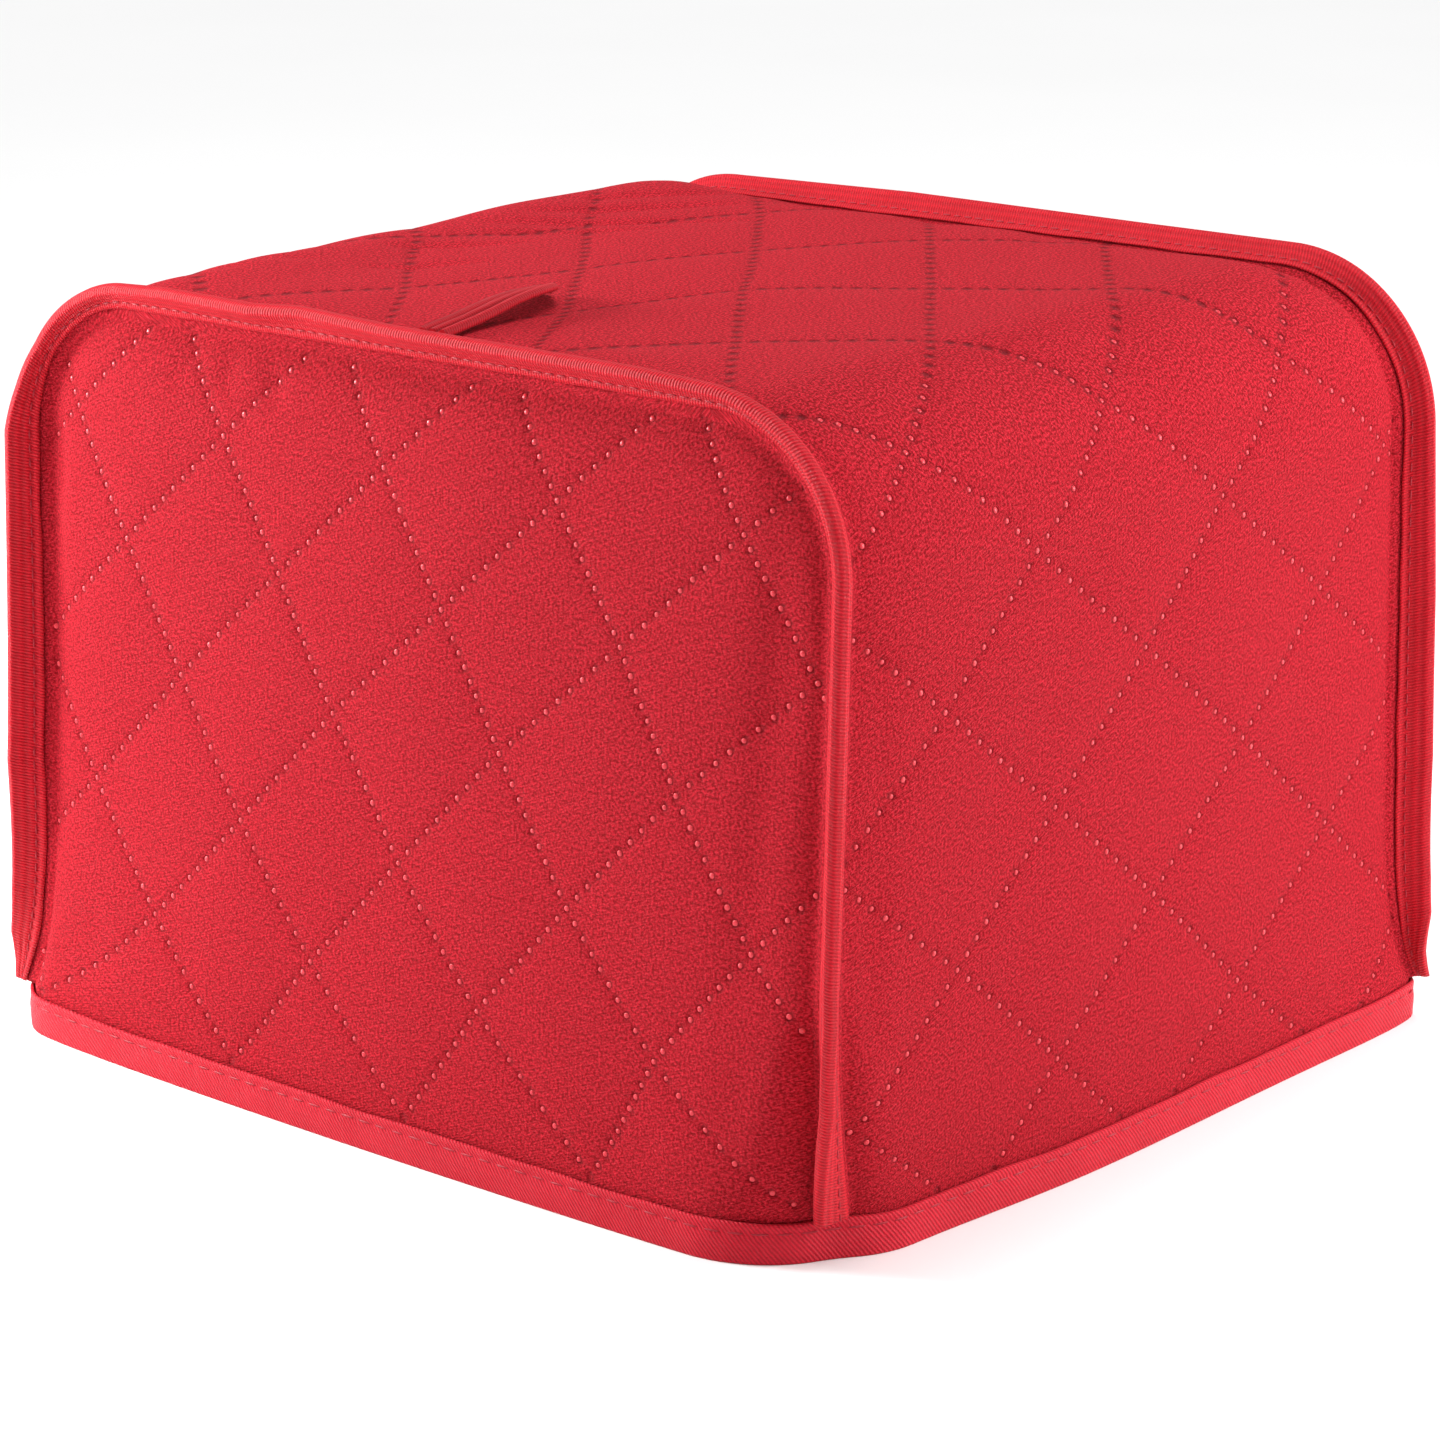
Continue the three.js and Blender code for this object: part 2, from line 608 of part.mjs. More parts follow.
function stripSheet() {
  const mesh = new ClothMesh();
  const place = (y, along, lift) => stripPoint(along, y, lift);
  const bottom = hem.floor + cloth.gap;
  const stations = [...stripLevels];
  for (let step = 0; step < bendSteps; step += 1) stations.push(bendStation(step));
  stations.push(...crownStations());
  for (let step = bendSteps - 1; step >= 0; step -= 1) stations.push(archLength - bendStation(step));
  stations.push(...stripLevels.map((level) => archLength - level).reverse());

  const rows = stations.map((along) => {
    const arch = archAt(along);
    const low = fin.fold - halfDepthAt(-1, arch.z);
    const high = halfDepthAt(1, arch.z) - fin.fold;
    const atHem = arch.z <= hem.straight;
    const hemInner = () => acrossStops(low - fin.fold, high + fin.fold).slice(1, -1);
    const stops = [low, ...(atHem ? hemInner() : rowStops(stripRows, along, low, high)), high];
    return stops.map((y, index) => {
      const onFold = index === 0 || index === stops.length - 1;
      return sheetNode(mesh, place, 1, y, along, atHem || onFold ? 0 : quiltPuff(stripRows, along, y));
    });
  });
  for (let index = 0; index < rows.length - 1; index += 1) mesh.zip(rows[index], rows[index + 1]);

  const farEdges = stations.map((along) => turnedEdge(mesh, 1, along, -1));
  const nearEdges = stations.map((along) => turnedEdge(mesh, -1, along, -1));
  const farChains = rows.map((row, index) => edgeChain(row[row.length - 1], farEdges[index]));
  const nearChains = rows.map((row, index) => edgeChain(row[0], nearEdges[index])).reverse();
  mesh.walk(farChains);
  mesh.walk(nearChains, true);
  for (const chains of [farChains, nearChains]) {
    mesh.foot(chains[0], true);
    mesh.foot(chains[chains.length - 1], false);
  }

  // Straight bands inside the hem tape, at the front and at the back
  const [low, high] = [-halfDepthAt(-1, hem.straight), halfDepthAt(1, hem.straight)];
  const lastRow = rows.length - 1;
  const bands = [{ along: bottom, row: 0 }, { along: archLength - bottom, row: lastRow }];
  for (const { along, row } of bands) {
    const far = seamNode(mesh, 1, along, -1, high);
    const near = seamNode(mesh, -1, along, -1, low);
    const upperFar = { ...farEdges[row].seam, across: high };
    const upperNear = { ...nearEdges[row].seam, across: low };
    const hemRow = [near, ...acrossStops(low, high).map((y) => sheetNode(mesh, place, 1, y, along)), far];
    const upperRow = [upperNear, ...rows[row], upperFar];
    const wall = (node) => [node.outside, node.inside];
    if (row === 0) {
      mesh.zip(hemRow, upperRow);
      mesh.walk([wall(far), wall(upperFar)]);
      mesh.walk([wall(upperNear), wall(near)]);
      mesh.rim(hemRow);
    } else {
      mesh.zip(upperRow, hemRow);
      mesh.walk([wall(upperFar), wall(far)]);
      mesh.walk([wall(near), wall(upperNear)]);
      mesh.rim(hemRow.slice().reverse());
    }
  }
  return mesh.geometry();
}

// Binding tape, folded over a fin and caught through both its faces

const tapeInside = outerLayer + tape.clear;
const tapeOutside = tapeInside + tape.thick;
const tapeOutline = [
  [tape.start, tapeOutside], [fin.rampLength, tapeOutside], [fin.length + 0.3, tapeOutside],
  [tape.crest, 0.9], [tape.crest, -0.9], [fin.length + 0.3, -tapeOutside],
  [fin.rampLength, -tapeOutside], [tape.start, -tapeOutside],
  [tape.start, -tapeInside], [fin.rampLength, -tapeInside], [fin.length + tape.clear, -tapeInside],
  [fin.length + tape.clear, tapeInside], [fin.rampLength, tapeInside], [tape.start, tapeInside],
].map(([f, q]) => new THREE.Vector2(f, q));

function bindingTape(end) {
  const stations = [...bindingLevels];
  for (let step = 0; step < bendSteps; step += 1) stations.push(bendStation(step));
  stations.push(...crownStations());
  for (let step = bendSteps - 1; step >= 0; step -= 1) stations.push(archLength - bendStation(step));
  stations.push(...bindingLevels.map((level) => archLength - level).reverse());
  const rings = stations.map((along) => {
    const frame = seamFrame(end, along);
    const stand = standAt(end, along);
    return tapeOutline.map((point) => finPoint(frame, stand, point.x, point.y));
  });
  return loftGeometry(rings, tapeOutline);
}

// Hem tape: one ring folded under the lower edge of the panels and the strip

const hemOut = tape.clear + hem.wall;
const hemBack = -cloth.thick - tape.clear;
const hemIn = hemBack - hem.wall;
const hemOutline = [
  [hemOut, 0], [hemOut, hem.height], [tape.clear, hem.height], [tape.clear, hem.floor],
  [hemBack, hem.floor], [hemBack, hem.inside], [hemIn, hem.inside], [hemIn, 0],
].map(([out, z]) => new THREE.Vector2(out, z));

function hemPath() {
  const path = [];
  const halfWidth = legHalfWidth(hem.straight);
  const [low, high] = [-halfDepthAt(-1, hem.straight), halfDepthAt(1, hem.straight)];
  const panelRun = (end) => acrossStops(-halfWidth, halfWidth).map((x) => {
    const place = (a, b) => panelPoint(end, a, b);
    return { at: place(x, 0), out: surfaceNormal(place, x, hem.straight + 1).multiplyScalar(-end) };
  });
  const stripRun = (along) => acrossStops(low, high).map((y) => {
    const place = (a, b) => stripPoint(b, a);
    return { at: place(y, along), out: surfaceNormal(place, y, along) };
  });
  const corner = (end, along) => {
    const frame = seamFrame(end, along);
    return { at: frame.root, out: frame.out };
  };
  const front = 1;
  const back = archLength - 1;
  path.push(corner(-1, back), ...panelRun(-1), corner(-1, front), ...stripRun(front));
  path.push(corner(1, front), ...panelRun(1).reverse(), corner(1, back), ...stripRun(back).reverse());
  return path;
}

function hemTape() {
  const rings = hemPath().map(({ at, out }) => {
    const flatOut = vec(out.x, out.y, 0).normalize();
    return hemOutline.map((point) => vec(at.x + flatOut.x * point.x, at.y + flatOut.y * point.x, point.y));
  });
  return loftGeometry(rings, hemOutline, true);
}

// Handle strap: tape folded to a flat band with two lengthwise ridges, sewn down at both feet

const strapOutline = [
  [-0.5, 0], [0.5, 0], [0.5, 0.62], [0.38, 1], [0.12, 0.74], [-0.12, 0.74], [-0.38, 1], [-0.5, 0.62],
].map(([across, up]) => new THREE.Vector2(across, up));

function topHeight(x, y) {
  const along = shoulder + bendLength + (flatHalf - x);
  return stripPoint(along, y, quiltPuff(stripRows, along, y)).z;
}

function topUnderStrap(x, y, width) {
  const half = width / 2;
  const heights = [-half, 0, half].flatMap((dx) => [-5, 0, 5].map((dy) => topHeight(x + dx, y + dy)));
  return Math.max(...heights);
}

function handleStrap() {
  const last = strapCourse.length - 1;
  const rings = strapCourse.map((stop, index) => {
    const before = strapCourse[Math.max(0, index - 1)];
    const after = strapCourse[Math.min(last, index + 1)];
    const heading = vec(after.x - before.x, after.y - before.y, 0).normalize();
    const across = vec(-heading.y, heading.x, 0);
    const base = topUnderStrap(stop.x, stop.y, stop.width);
    return strapOutline.map((point) => {
      const clear = stop.left + (stop.right - stop.left) * (point.x + 0.5);
      return vec(stop.x, stop.y, base + clear + point.y * strapThick)
        .addScaledVector(across, point.x * stop.width);
    });
  });
  return loftGeometry(rings, strapOutline);
}

// Assembly

const clothRed = { color: 0xc8283a, roughness: 0.85, metalness: 0 };
const tapeRed = { color: 0xd2384f, roughness: 0.55, metalness: 0 };
const cover = new THREE.Group();

function settled(geometry) {
  const places = geometry.attributes.position;
  for (let index = 0; index < places.count; index += 1) {
    const [x, y, z] = [places.getX(index), places.getY(index), places.getZ(index)];
    let [movedX, movedY] = [x, y];
    for (const push of pushes) {
      const away = Math.hypot(x - push.x, y - push.y) / push.reach;
      const share = Math.exp(-away * away - Math.max(0, z - hem.straight) / push.height);
      movedX += push.dx * share;
      movedY += push.dy * share;
    }
    places.setXY(index, movedX, movedY);
  }
  return geometry;
}

function addPiece(name, geometry, finish) {
  const mesh = new THREE.Mesh(settled(geometry), new THREE.MeshStandardMaterial(finish));
  mesh.name = name;
  cover.add(mesh);
}

addPiece('near_panel', panelSheet(-1), clothRed);
addPiece('far_panel', panelSheet(1), clothRed);
addPiece('body_strip', stripSheet(), clothRed);
addPiece('near_binding', bindingTape(-1), tapeRed);
addPiece('far_binding', bindingTape(1), tapeRed);
addPiece('hem_binding', hemTape(), tapeRed);
addPiece('handle_strap', handleStrap(), tapeRed);

// Origin under the middle of the whole cover
const whole = new THREE.Box3().setFromObject(cover);
for (const mesh of cover.children) {
  mesh.position.set(-(whole.min.x + whole.max.x) / 2, -(whole.min.y + whole.max.y) / 2, -whole.min.z);
}

export default cover;
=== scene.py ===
# %% [markdown]
# # A quilted toaster cover
# The real thing is a soft box of brushed red cloth that stands over a toaster. Two end panels and
# one long strip are sewn together, and the seams stand outside as fins, folded into woven tape.
# A third tape closes the lower edge, and a short strap on top lifts the cover off.
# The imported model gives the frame. Everything below is made in that frame, in metres.

import math

import bpy
import numpy as np
from mathutils import Matrix, Vector
from mathutils.bvhtree import BVHTree


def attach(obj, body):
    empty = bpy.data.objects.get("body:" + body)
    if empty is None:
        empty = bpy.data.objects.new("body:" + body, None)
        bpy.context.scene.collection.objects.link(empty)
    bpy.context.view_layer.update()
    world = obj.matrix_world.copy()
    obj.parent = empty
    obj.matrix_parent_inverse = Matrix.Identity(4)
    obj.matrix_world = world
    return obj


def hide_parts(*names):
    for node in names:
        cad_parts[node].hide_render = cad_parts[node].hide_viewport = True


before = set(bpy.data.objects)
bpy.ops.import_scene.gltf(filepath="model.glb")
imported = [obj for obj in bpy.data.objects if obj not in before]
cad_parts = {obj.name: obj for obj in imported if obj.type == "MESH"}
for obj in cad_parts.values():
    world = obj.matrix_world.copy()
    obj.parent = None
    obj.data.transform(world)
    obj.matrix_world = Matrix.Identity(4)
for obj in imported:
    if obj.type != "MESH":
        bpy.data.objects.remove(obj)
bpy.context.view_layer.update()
print("nodes in the frame:", ", ".join(sorted(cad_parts)))

# %% [markdown]
# ## Camera
# The photograph was taken from a little above, with the near corner towards the lens. Its place
# was worked out from the corners and edges that the picture shows, so it is given as a place, two
# angles and a lens. A long lens far away keeps upright edges nearly parallel, as here.

# %% Camera
CAMERA = {"place": (0.775895, -0.909636, 0.42513), "azimuth": 40.4, "elevation": 15.6, "lens": 107.901}


def camera_turn(azimuth, elevation):
    """Axes of a camera that looks at the cover from that side, without roll."""
    a, e = math.radians(azimuth), math.radians(elevation)
    right = Vector((math.cos(a), math.sin(a), 0))
    back = Vector((math.sin(a) * math.cos(e), -math.cos(a) * math.cos(e), math.sin(e)))
    return Matrix((right, back.cross(right), back)).transposed()


camera_data = bpy.data.cameras.new("camera")
camera_data.lens, camera_data.sensor_width = CAMERA["lens"], 36
camera = bpy.data.objects.new("camera", camera_data)
camera_axes = camera_turn(CAMERA["azimuth"], CAMERA["elevation"]).to_4x4()
camera.matrix_world = Matrix.Translation(CAMERA["place"]) @ camera_axes
bpy.context.scene.collection.objects.link(camera)
bpy.context.scene.camera = camera
print("camera at", CAMERA["place"])

# %% [markdown]
# ## Sizes of the cover
# A maker writes the cut down first. These are the sizes of the seam line, the fins, the tapes and
# the hem in millimetres, the same ones that the solids were made from. `SHIFT` moves the whole
# from the maker's own middle to the frame's, which is the middle of the outer box.

# %% Sizes
SHIFT = np.array([7.455, -5.976, 0.0])
HALF_WIDTH, HALF_DEPTH, TOP, BEND = 143.5, 123.5, 218.6, 40.0
SPREAD = {"width": -1.2, "near": 5.2, "far": 8.5}
CLOTH = {"thick": 2.0, "in_fin": 0.95, "gap": 0.36, "puff": 1.0, "puff_run_in": 12.0}
BELLY = {"panel": 3.0, "panel_middle": 2.6, "start": 4.5, "run_in": 8.0}
FIN = {"length": 10.4, "ramp": 5.0, "fold": 3.6}
TAPE = {"thick": 0.9, "clear": 0.45, "start": 3.3, "crest": 11.8}
HEM = {"inside": 10.0, "floor": 1.2, "wall": 1.0, "straight": 12.0}
RISE_TO_FAR, FAR_RISE_POWER = 0.012, 1.5
SEAM_RADIUS, FADE_TOP, SHIFT_REACH = 3.0, 83.0, 110.0

SHOULDER = TOP - BEND
BEND_LENGTH = BEND * math.pi / 2
FLAT_HALF = HALF_WIDTH - BEND
ARCH = 2 * (SHOULDER + BEND_LENGTH + FLAT_HALF)
print(f"the strip is {ARCH:.0f} mm long from hem to hem")

# %% [markdown]
# ## Tables of how it stands
# Cloth never stands quite even. These short tables say how far the strip swells along its length,
# where the hem has been pushed, how round each lower corner stands, and how each fin leans and
# how far it stands out at places along the seam.

# %% Tables


def table(names, rows):
    """A table with named columns, as one array for each column."""
    columns = np.array(rows, float).T
    return dict(zip(names.split(), columns))


STRIP_BELLY = table("along out middle far_rise", [
    (0, 1.2, 3.2, 0), (120, 2.2, 2.2, 0), (178, 2.6, 1.4, 0), (241, 3.6, 0.6, 0), (400, 3.9, 0.8, 0),
    (430, 4, 0.8, 1.2), (465, 5.7, 1.1, 4.2), (480, 6.4, 1.2, 3.6), (540, 3.4, 1.6, 0.4), (690, 1.8, 2, 0),
])
PUSHES = table("x y dx dy reach height", [
    (-146, -126, -21, 1, 42, 30), (144, 130, 3, 13.7, 50, 22), (140, -92, -4.2, 0.6, 50, 40),
])
# The lower corners, in this order: far back, far front, near back, near front.
CORNERS = table("radius share", [(12, 45), (7, 45), (14, 55), (40, 57)])
NEAR_FIN = table("along lean reach", [
    (0, 72, 1), (14, 66, 1), (27, 48, 1), (46, 22, 1), (70, 7, 1), (178.6, 8, 0.85), (200, 2, 0.8),
    (217, 0, 0.46), (227, 0, 0.36), (242, 0, 0.5), (262, 0, 0.78), (345, 3, 0.95), (379, -7, 0.95),
    (397, 7, 1), (431, 0, 0.89), (448, 0, 0.67), (464, 0, 0.51), (487, 0, 0.48), (500, 0, 0.69),
    (511.3, 0, 1), (607, -3, 1.15), (648, -12, 1.12), (662, -22, 1.04), (671, -32, 0.62),
    (678, -37, 0.3), (684, -39, 0.1), (690, -40, 0.03),
])
FAR_FIN = table("along lean reach", [
    (0, -48, 0.03), (6, -47, 0.1), (12, -45, 0.24), (21, -36, 0.5), (33, -16, 1), (45, -6, 1.12),
    (83, -4, 1.18), (130, -8, 1.12), (178.6, -14, 0.91), (241, -2, 0.88), (293, 5, 1), (380, -3, 1),
    (446, 2, 0.85), (480, 2, 0.77), (511.3, 2, 1), (656, 4, 1), (678, 36, 1), (690, 50, 1),
])
print("fin places:", len(NEAR_FIN["along"]), "near and", len(FAR_FIN["along"]), "far")

# %% [markdown]
# ## The arch of the seam
# Seen from the end, each seam climbs the front, bends over the top and runs down the back. One
# number, the length along it from the front hem, names every place on it, which is how a tape
# is measured too. Working on whole arrays of such lengths keeps the code short and quick.

# %% Arch


def leg_half_width(z):
    return HALF_WIDTH + SPREAD["width"] * np.maximum(0, 1 - z / SHOULDER)


def half_depth(end, z):
    spread = np.where(end < 0, SPREAD["near"], SPREAD["far"])
    return HALF_DEPTH + spread * (1 - z / TOP)


def arch_at(along):
    """x, z and the outward direction of the arch at lengths along it."""
    along = np.asarray(along, float)
    side = np.where(along > ARCH / 2, -1.0, 1.0)
    run = np.where(along > ARCH / 2, ARCH - along, along)
    turn = np.clip((run - SHOULDER) / BEND, 0, math.pi / 2)
    leg = leg_half_width(np.maximum(run, HEM["straight"]))
    over = FLAT_HALF + BEND * np.cos(turn) - np.maximum(run - SHOULDER - BEND_LENGTH, 0)
    x = np.where(run < SHOULDER, leg, over)
    z = np.where(run < SHOULDER, run, SHOULDER + BEND * np.sin(turn))
    return side * x, z, side * np.cos(turn), np.sin(turn)


print("top of the arch at", round(float(arch_at(ARCH / 2)[1]), 1), "mm")

# %% [markdown]
# ## The two outer surfaces
# An end panel is a flat cut that swells a little in its middle and rounds off towards the seam.
# The strip does the same across its width. Both are written as a place in the cut, which gives
# the point in space, and `lift` raises the surface there for quilting, creases and puckers.

# %% Surfaces


def corner_at(z, near, front):
    code = 2 * np.asarray(near, int) + np.asarray(front, int)
    above_hem = np.maximum(z, HEM["straight"]) - HEM["straight"]
    fade = np.maximum(0, 1 - above_hem / (FADE_TOP - HEM["straight"]))
    radius = SEAM_RADIUS + (CORNERS["radius"][code] - SEAM_RADIUS) * fade
    return radius, np.radians(45 + (CORNERS["share"][code] - 45) * fade)


def rounded_edge(from_seam, radius, share):
    turned = np.maximum(0, share - from_seam / radius)
    straight = np.maximum(from_seam - radius * share, 0)
    in_plane = radius - radius * np.sin(turned) + straight - from_seam
    return in_plane * np.maximum(0, 1 - from_seam / SHIFT_REACH), radius * (1 - np.cos(turned))


def rise(from_seam, height):
    return height * (1 - np.exp(-np.maximum(0, from_seam - BELLY["start"]) / BELLY["run_in"]))


def panel_point(end, x, z, lift=0.0):
    """A point of an end panel; end is -1 for the near one and 1 for the far one."""
    x, z = np.broadcast_arrays(np.asarray(x, float), np.asarray(z, float))
    level = np.maximum(z, HEM["straight"])
    side = np.where(x < 0, -1.0, 1.0)
    over_x, over_z = np.abs(x) - FLAT_HALF, level - SHOULDER
    in_bend = (over_x > 0) & (over_z > 0)
    reach = np.where(in_bend, np.hypot(over_x, over_z), 1.0)
    to_side, to_top = leg_half_width(level) - np.abs(x), TOP - level
    by_side = to_side < to_top
    from_seam = np.maximum(0, np.where(in_bend, BEND - reach, np.minimum(to_side, to_top)))
    out_x = np.where(in_bend, side * over_x / reach, np.where(by_side, side, 0))
    out_z = np.where(in_bend, over_z / reach, np.where(by_side, 0, 1))
    radius, share = corner_at(level, end < 0, x > 0)
    in_plane, inward = rounded_edge(from_seam, radius, share)
    middle = BELLY["panel_middle"] * np.maximum(0, 1 - (x / HALF_WIDTH) ** 2)
    swell = rise(from_seam, BELLY["panel"] + middle) + lift * np.minimum(1, from_seam / CLOTH["puff_run_in"])
    y = end * (half_depth(end, level) + swell - inward)
    return np.stack([x - out_x * in_plane, y, z - out_z * in_plane], axis=-1)


def strip_point(along, y, lift=0.0):
    """A point of the long strip, by length along it and place across it."""
    along, y = np.broadcast_arrays(np.asarray(along, float), np.asarray(y, float))
    x, z, out_x, out_z = arch_at(along)
    level = np.maximum(z, HEM["straight"])
    side = np.where(y < 0, -1.0, 1.0)
    half = half_depth(side, level)
    from_seam = np.maximum(0, half - np.abs(y))
    radius, share = corner_at(level, side < 0, x > 0)
    in_plane, inward = rounded_edge(from_seam, radius, math.pi / 2 - share)
    across = np.minimum(1, np.abs(y) / half)
    columns = ("out", "middle", "far_rise")
    out, middle, far_rise = (np.interp(along, STRIP_BELLY["along"], STRIP_BELLY[name]) for name in columns)
    height = out + far_rise * (np.maximum(0, y) / half) ** FAR_RISE_POWER + RISE_TO_FAR * y * out_z
    middle = middle * (1 - across**2)
    puff = lift * np.minimum(1, from_seam / CLOTH["puff_run_in"])
    out = rise(from_seam, height) + middle + puff - inward
    return np.stack([x + out_x * out, y - side * in_plane, z + out_z * out], axis=-1)


def settled(points):
    """Points in the frame, in metres, after the pushes that the hem has taken."""
    points = np.array(points, float)
    x, y, z = points[..., 0].copy(), points[..., 1].copy(), points[..., 2]
    above_hem = np.maximum(0, z - HEM["straight"])
    for px, py, dx, dy, reach, height in zip(*PUSHES.values()):
        share = np.exp(-((x - px) ** 2 + (y - py) ** 2) / reach**2 - above_hem / height)
        points[..., 0] += dx * share
        points[..., 1] += dy * share
    return (points + SHIFT) / 1000


print("near panel's middle at", np.round(settled(panel_point(-1, 0.0, 110.0)), 3))

# %% [markdown]
# ## The fins
# Where two pieces are sewn with the seam outside, both edges turn up and stand as a fin. A fin
# leaves the corner square and bends over to its lean. A place in it is a height above the seam
# and a distance from its middle, so cloth, tape and stitches all follow the same fin. A real fin
# is pressed thinner than the solids, which leave room round each layer, so here it is thinned.

# %% Fins
HALF_GAP = CLOTH["gap"] / 2
OUTER_LAYER = HALF_GAP + CLOTH["in_fin"]
TAPE_INSIDE = OUTER_LAYER + TAPE["clear"]
TAPE_OUTSIDE = TAPE_INSIDE + TAPE["thick"]
TAPE_LOW, THIN_RUN_IN = 2.0, 2.5
# Each end of the cover has its lengths along the seam, and at each the fin's thickness as a share
# of the solid's, or how deep its foot sinks in.
FIN_THICK = {-1: ([0, 668, 690], [0.76, 0.76, 0.3]), 1: ([0, 16, 690], [0.3, 0.76, 0.76])}
FIN_SINK = {-1: ([0, 676, 690], [0, 0, 1.8]), 1: ([0, 12, 690], [1.8, 0, 0])}


def seam_frame(end, along):
    """The seam's points, the fin's outward direction and the direction towards the panel."""
    x, z, out_x, out_z = arch_at(along)
    root = strip_point(along, end * half_depth(end, np.maximum(z, HEM["straight"])))
    _, share = corner_at(z, end < 0, x > 0)
    zero = np.zeros_like(x)
    panel_out = np.stack([zero, zero + end, zero], axis=-1)
    strip_out = np.stack([out_x, zero, out_z], axis=-1)
    cosine, sine = np.cos(share)[..., None], np.sin(share)[..., None]
    return root, panel_out * cosine + strip_out * sine, panel_out * sine - strip_out * cosine


def fin_point(end, along, f, q):
    """Points of a fin: one row for each length along, one column for each height f and depth q."""
    fins = NEAR_FIN if end < 0 else FAR_FIN
    along = np.asarray(along, float)
    turn = np.radians(np.interp(along, fins["along"], fins["lean"]))[:, None]
    f = np.atleast_1d(f)
    thinned = (1 - np.interp(along, *FIN_THICK[end]))[:, None]
    q = q * (1 - thinned * np.clip((f - TAPE_LOW) / THIN_RUN_IN, 0, 1))
    in_cloth = np.clip(f, TAPE["start"], FIN["length"]) - TAPE["start"]
    f = f - in_cloth * (1 - np.interp(along, fins["along"], fins["reach"])[:, None])
    f = f - np.interp(along, *FIN_SINK[end])[:, None] * np.clip(f / TAPE_LOW, 0, 1)
    rate = np.where(np.abs(turn) < 1e-4, 1e-4, turn) / FIN["ramp"]
    angle = rate * np.minimum(f, FIN["ramp"])
    rest = np.maximum(0, f - FIN["ramp"])
    out = np.sin(angle) / rate + rest * np.cos(turn) - q * np.sin(angle)
    to_panel = (1 - np.cos(angle)) / rate + rest * np.sin(turn) + q * np.cos(angle)
    root, out_way, panel_way = seam_frame(end, along)
    return root[:, None] + out[..., None] * out_way[:, None] + to_panel[..., None] * panel_way[:, None]


print(f"a taped fin is {2 * TAPE_OUTSIDE * max(FIN_THICK[1][1]):.1f} mm thick")

# %% [markdown]
# ## The quilting
# The layers are welded together in dots that run in two slanting families of lines. The rows of
# diamond corners were measured up each cut. `lattice` turns a place into two numbers, one for
# each family: on a whole number there is a line, and at each tenth between them a dot.

# %% Quilting
PANEL_ROWS = table("row up slant shift pitch", [
    (6, -23, 0, -101, 68), (5, 12.6, 0, -98, 67), (4, 48.5, 0, -94.8, 62), (3, 83, 0, -89.5, 60),
    (2, 119.5, 0, -83.5, 60), (1, 154.5, 0, -74, 60.5), (0, 188.8, 0, -65, 60.5), (-1, 223, 0, -56, 60.5),
])
STRIP_ROWS = table("row up slant shift pitch", [
    (6, 1, 0, 5, 85), (5, 36, 0, 4.5, 85), (4, 71.5, 0, 4.5, 85), (3, 106, 0, 2, 86), (2, 141, 0, -3, 85),
    (1, 175.5, 0, -10, 83), (0, 206, 0, -11, 81), (-1, 241.9, 0.06, 1, 87), (-2, 283, 0.08, 16.3, 91),
    (-3, 323.6, 0.09, 29, 94), (-4, 352.9, 0.2, 31.4, 103), (-5, 381.4, 0.23, 30, 108),
    (-6, 414.6, 0.25, 29.7, 102), (-7, 449, 0.16, 34, 100), (-8, 486, 0.07, 24, 96),
    (-9, 520, 0, 16, 90), (-10, 555, 0, 10, 86),
    (-11, 590, 0, 6, 85), (-12, 625, 0, 4, 85), (-13, 660, 0, 4, 85), (-14, 695, 0, 4, 85),
])
DOTS_ON_A_SIDE = 10


def by_row(rows, row, column):
    return np.interp(-row, -rows["row"], rows[column])


def lattice(rows, up, across):
    """The two line numbers of the quilting at places in the cut."""
    row = np.interp(up, rows["up"], rows["row"])
    for _ in range(4):
        row = np.interp(up - by_row(rows, row, "slant") * across, rows["up"], rows["row"])
    column = 2 * (across - by_row(rows, row, "shift")) / by_row(rows, row, "pitch")
    return (row + column) / 2, (row - column) / 2


def from_lattice(rows, first, second):
    """The place in the cut of two line numbers."""
    row, column = first + second, first - second
    across = by_row(rows, row, "shift") + column * by_row(rows, row, "pitch") / 2
    return by_row(rows, row, "up") + by_row(rows, row, "slant") * across, across


def diamond_lift(first, second, seed):
    """How far the cloth stands up between the lines, each diamond a little differently."""
    inside = np.abs(np.sin(np.pi * first) * np.sin(np.pi * second))
    cell = np.floor(first) * 12.9898 + np.floor(second) * 78.233 + seed
    uneven = 0.8 + 0.3 * np.abs(np.modf(np.sin(cell) * 43.5453)[0])
    return CLOTH["puff"] * uneven * ((inside + 0.01) ** 0.6 - 0.063)


print("a diamond of the near panel stands", round(float(diamond_lift(0.5, 0.5, 1)), 2), "mm high")
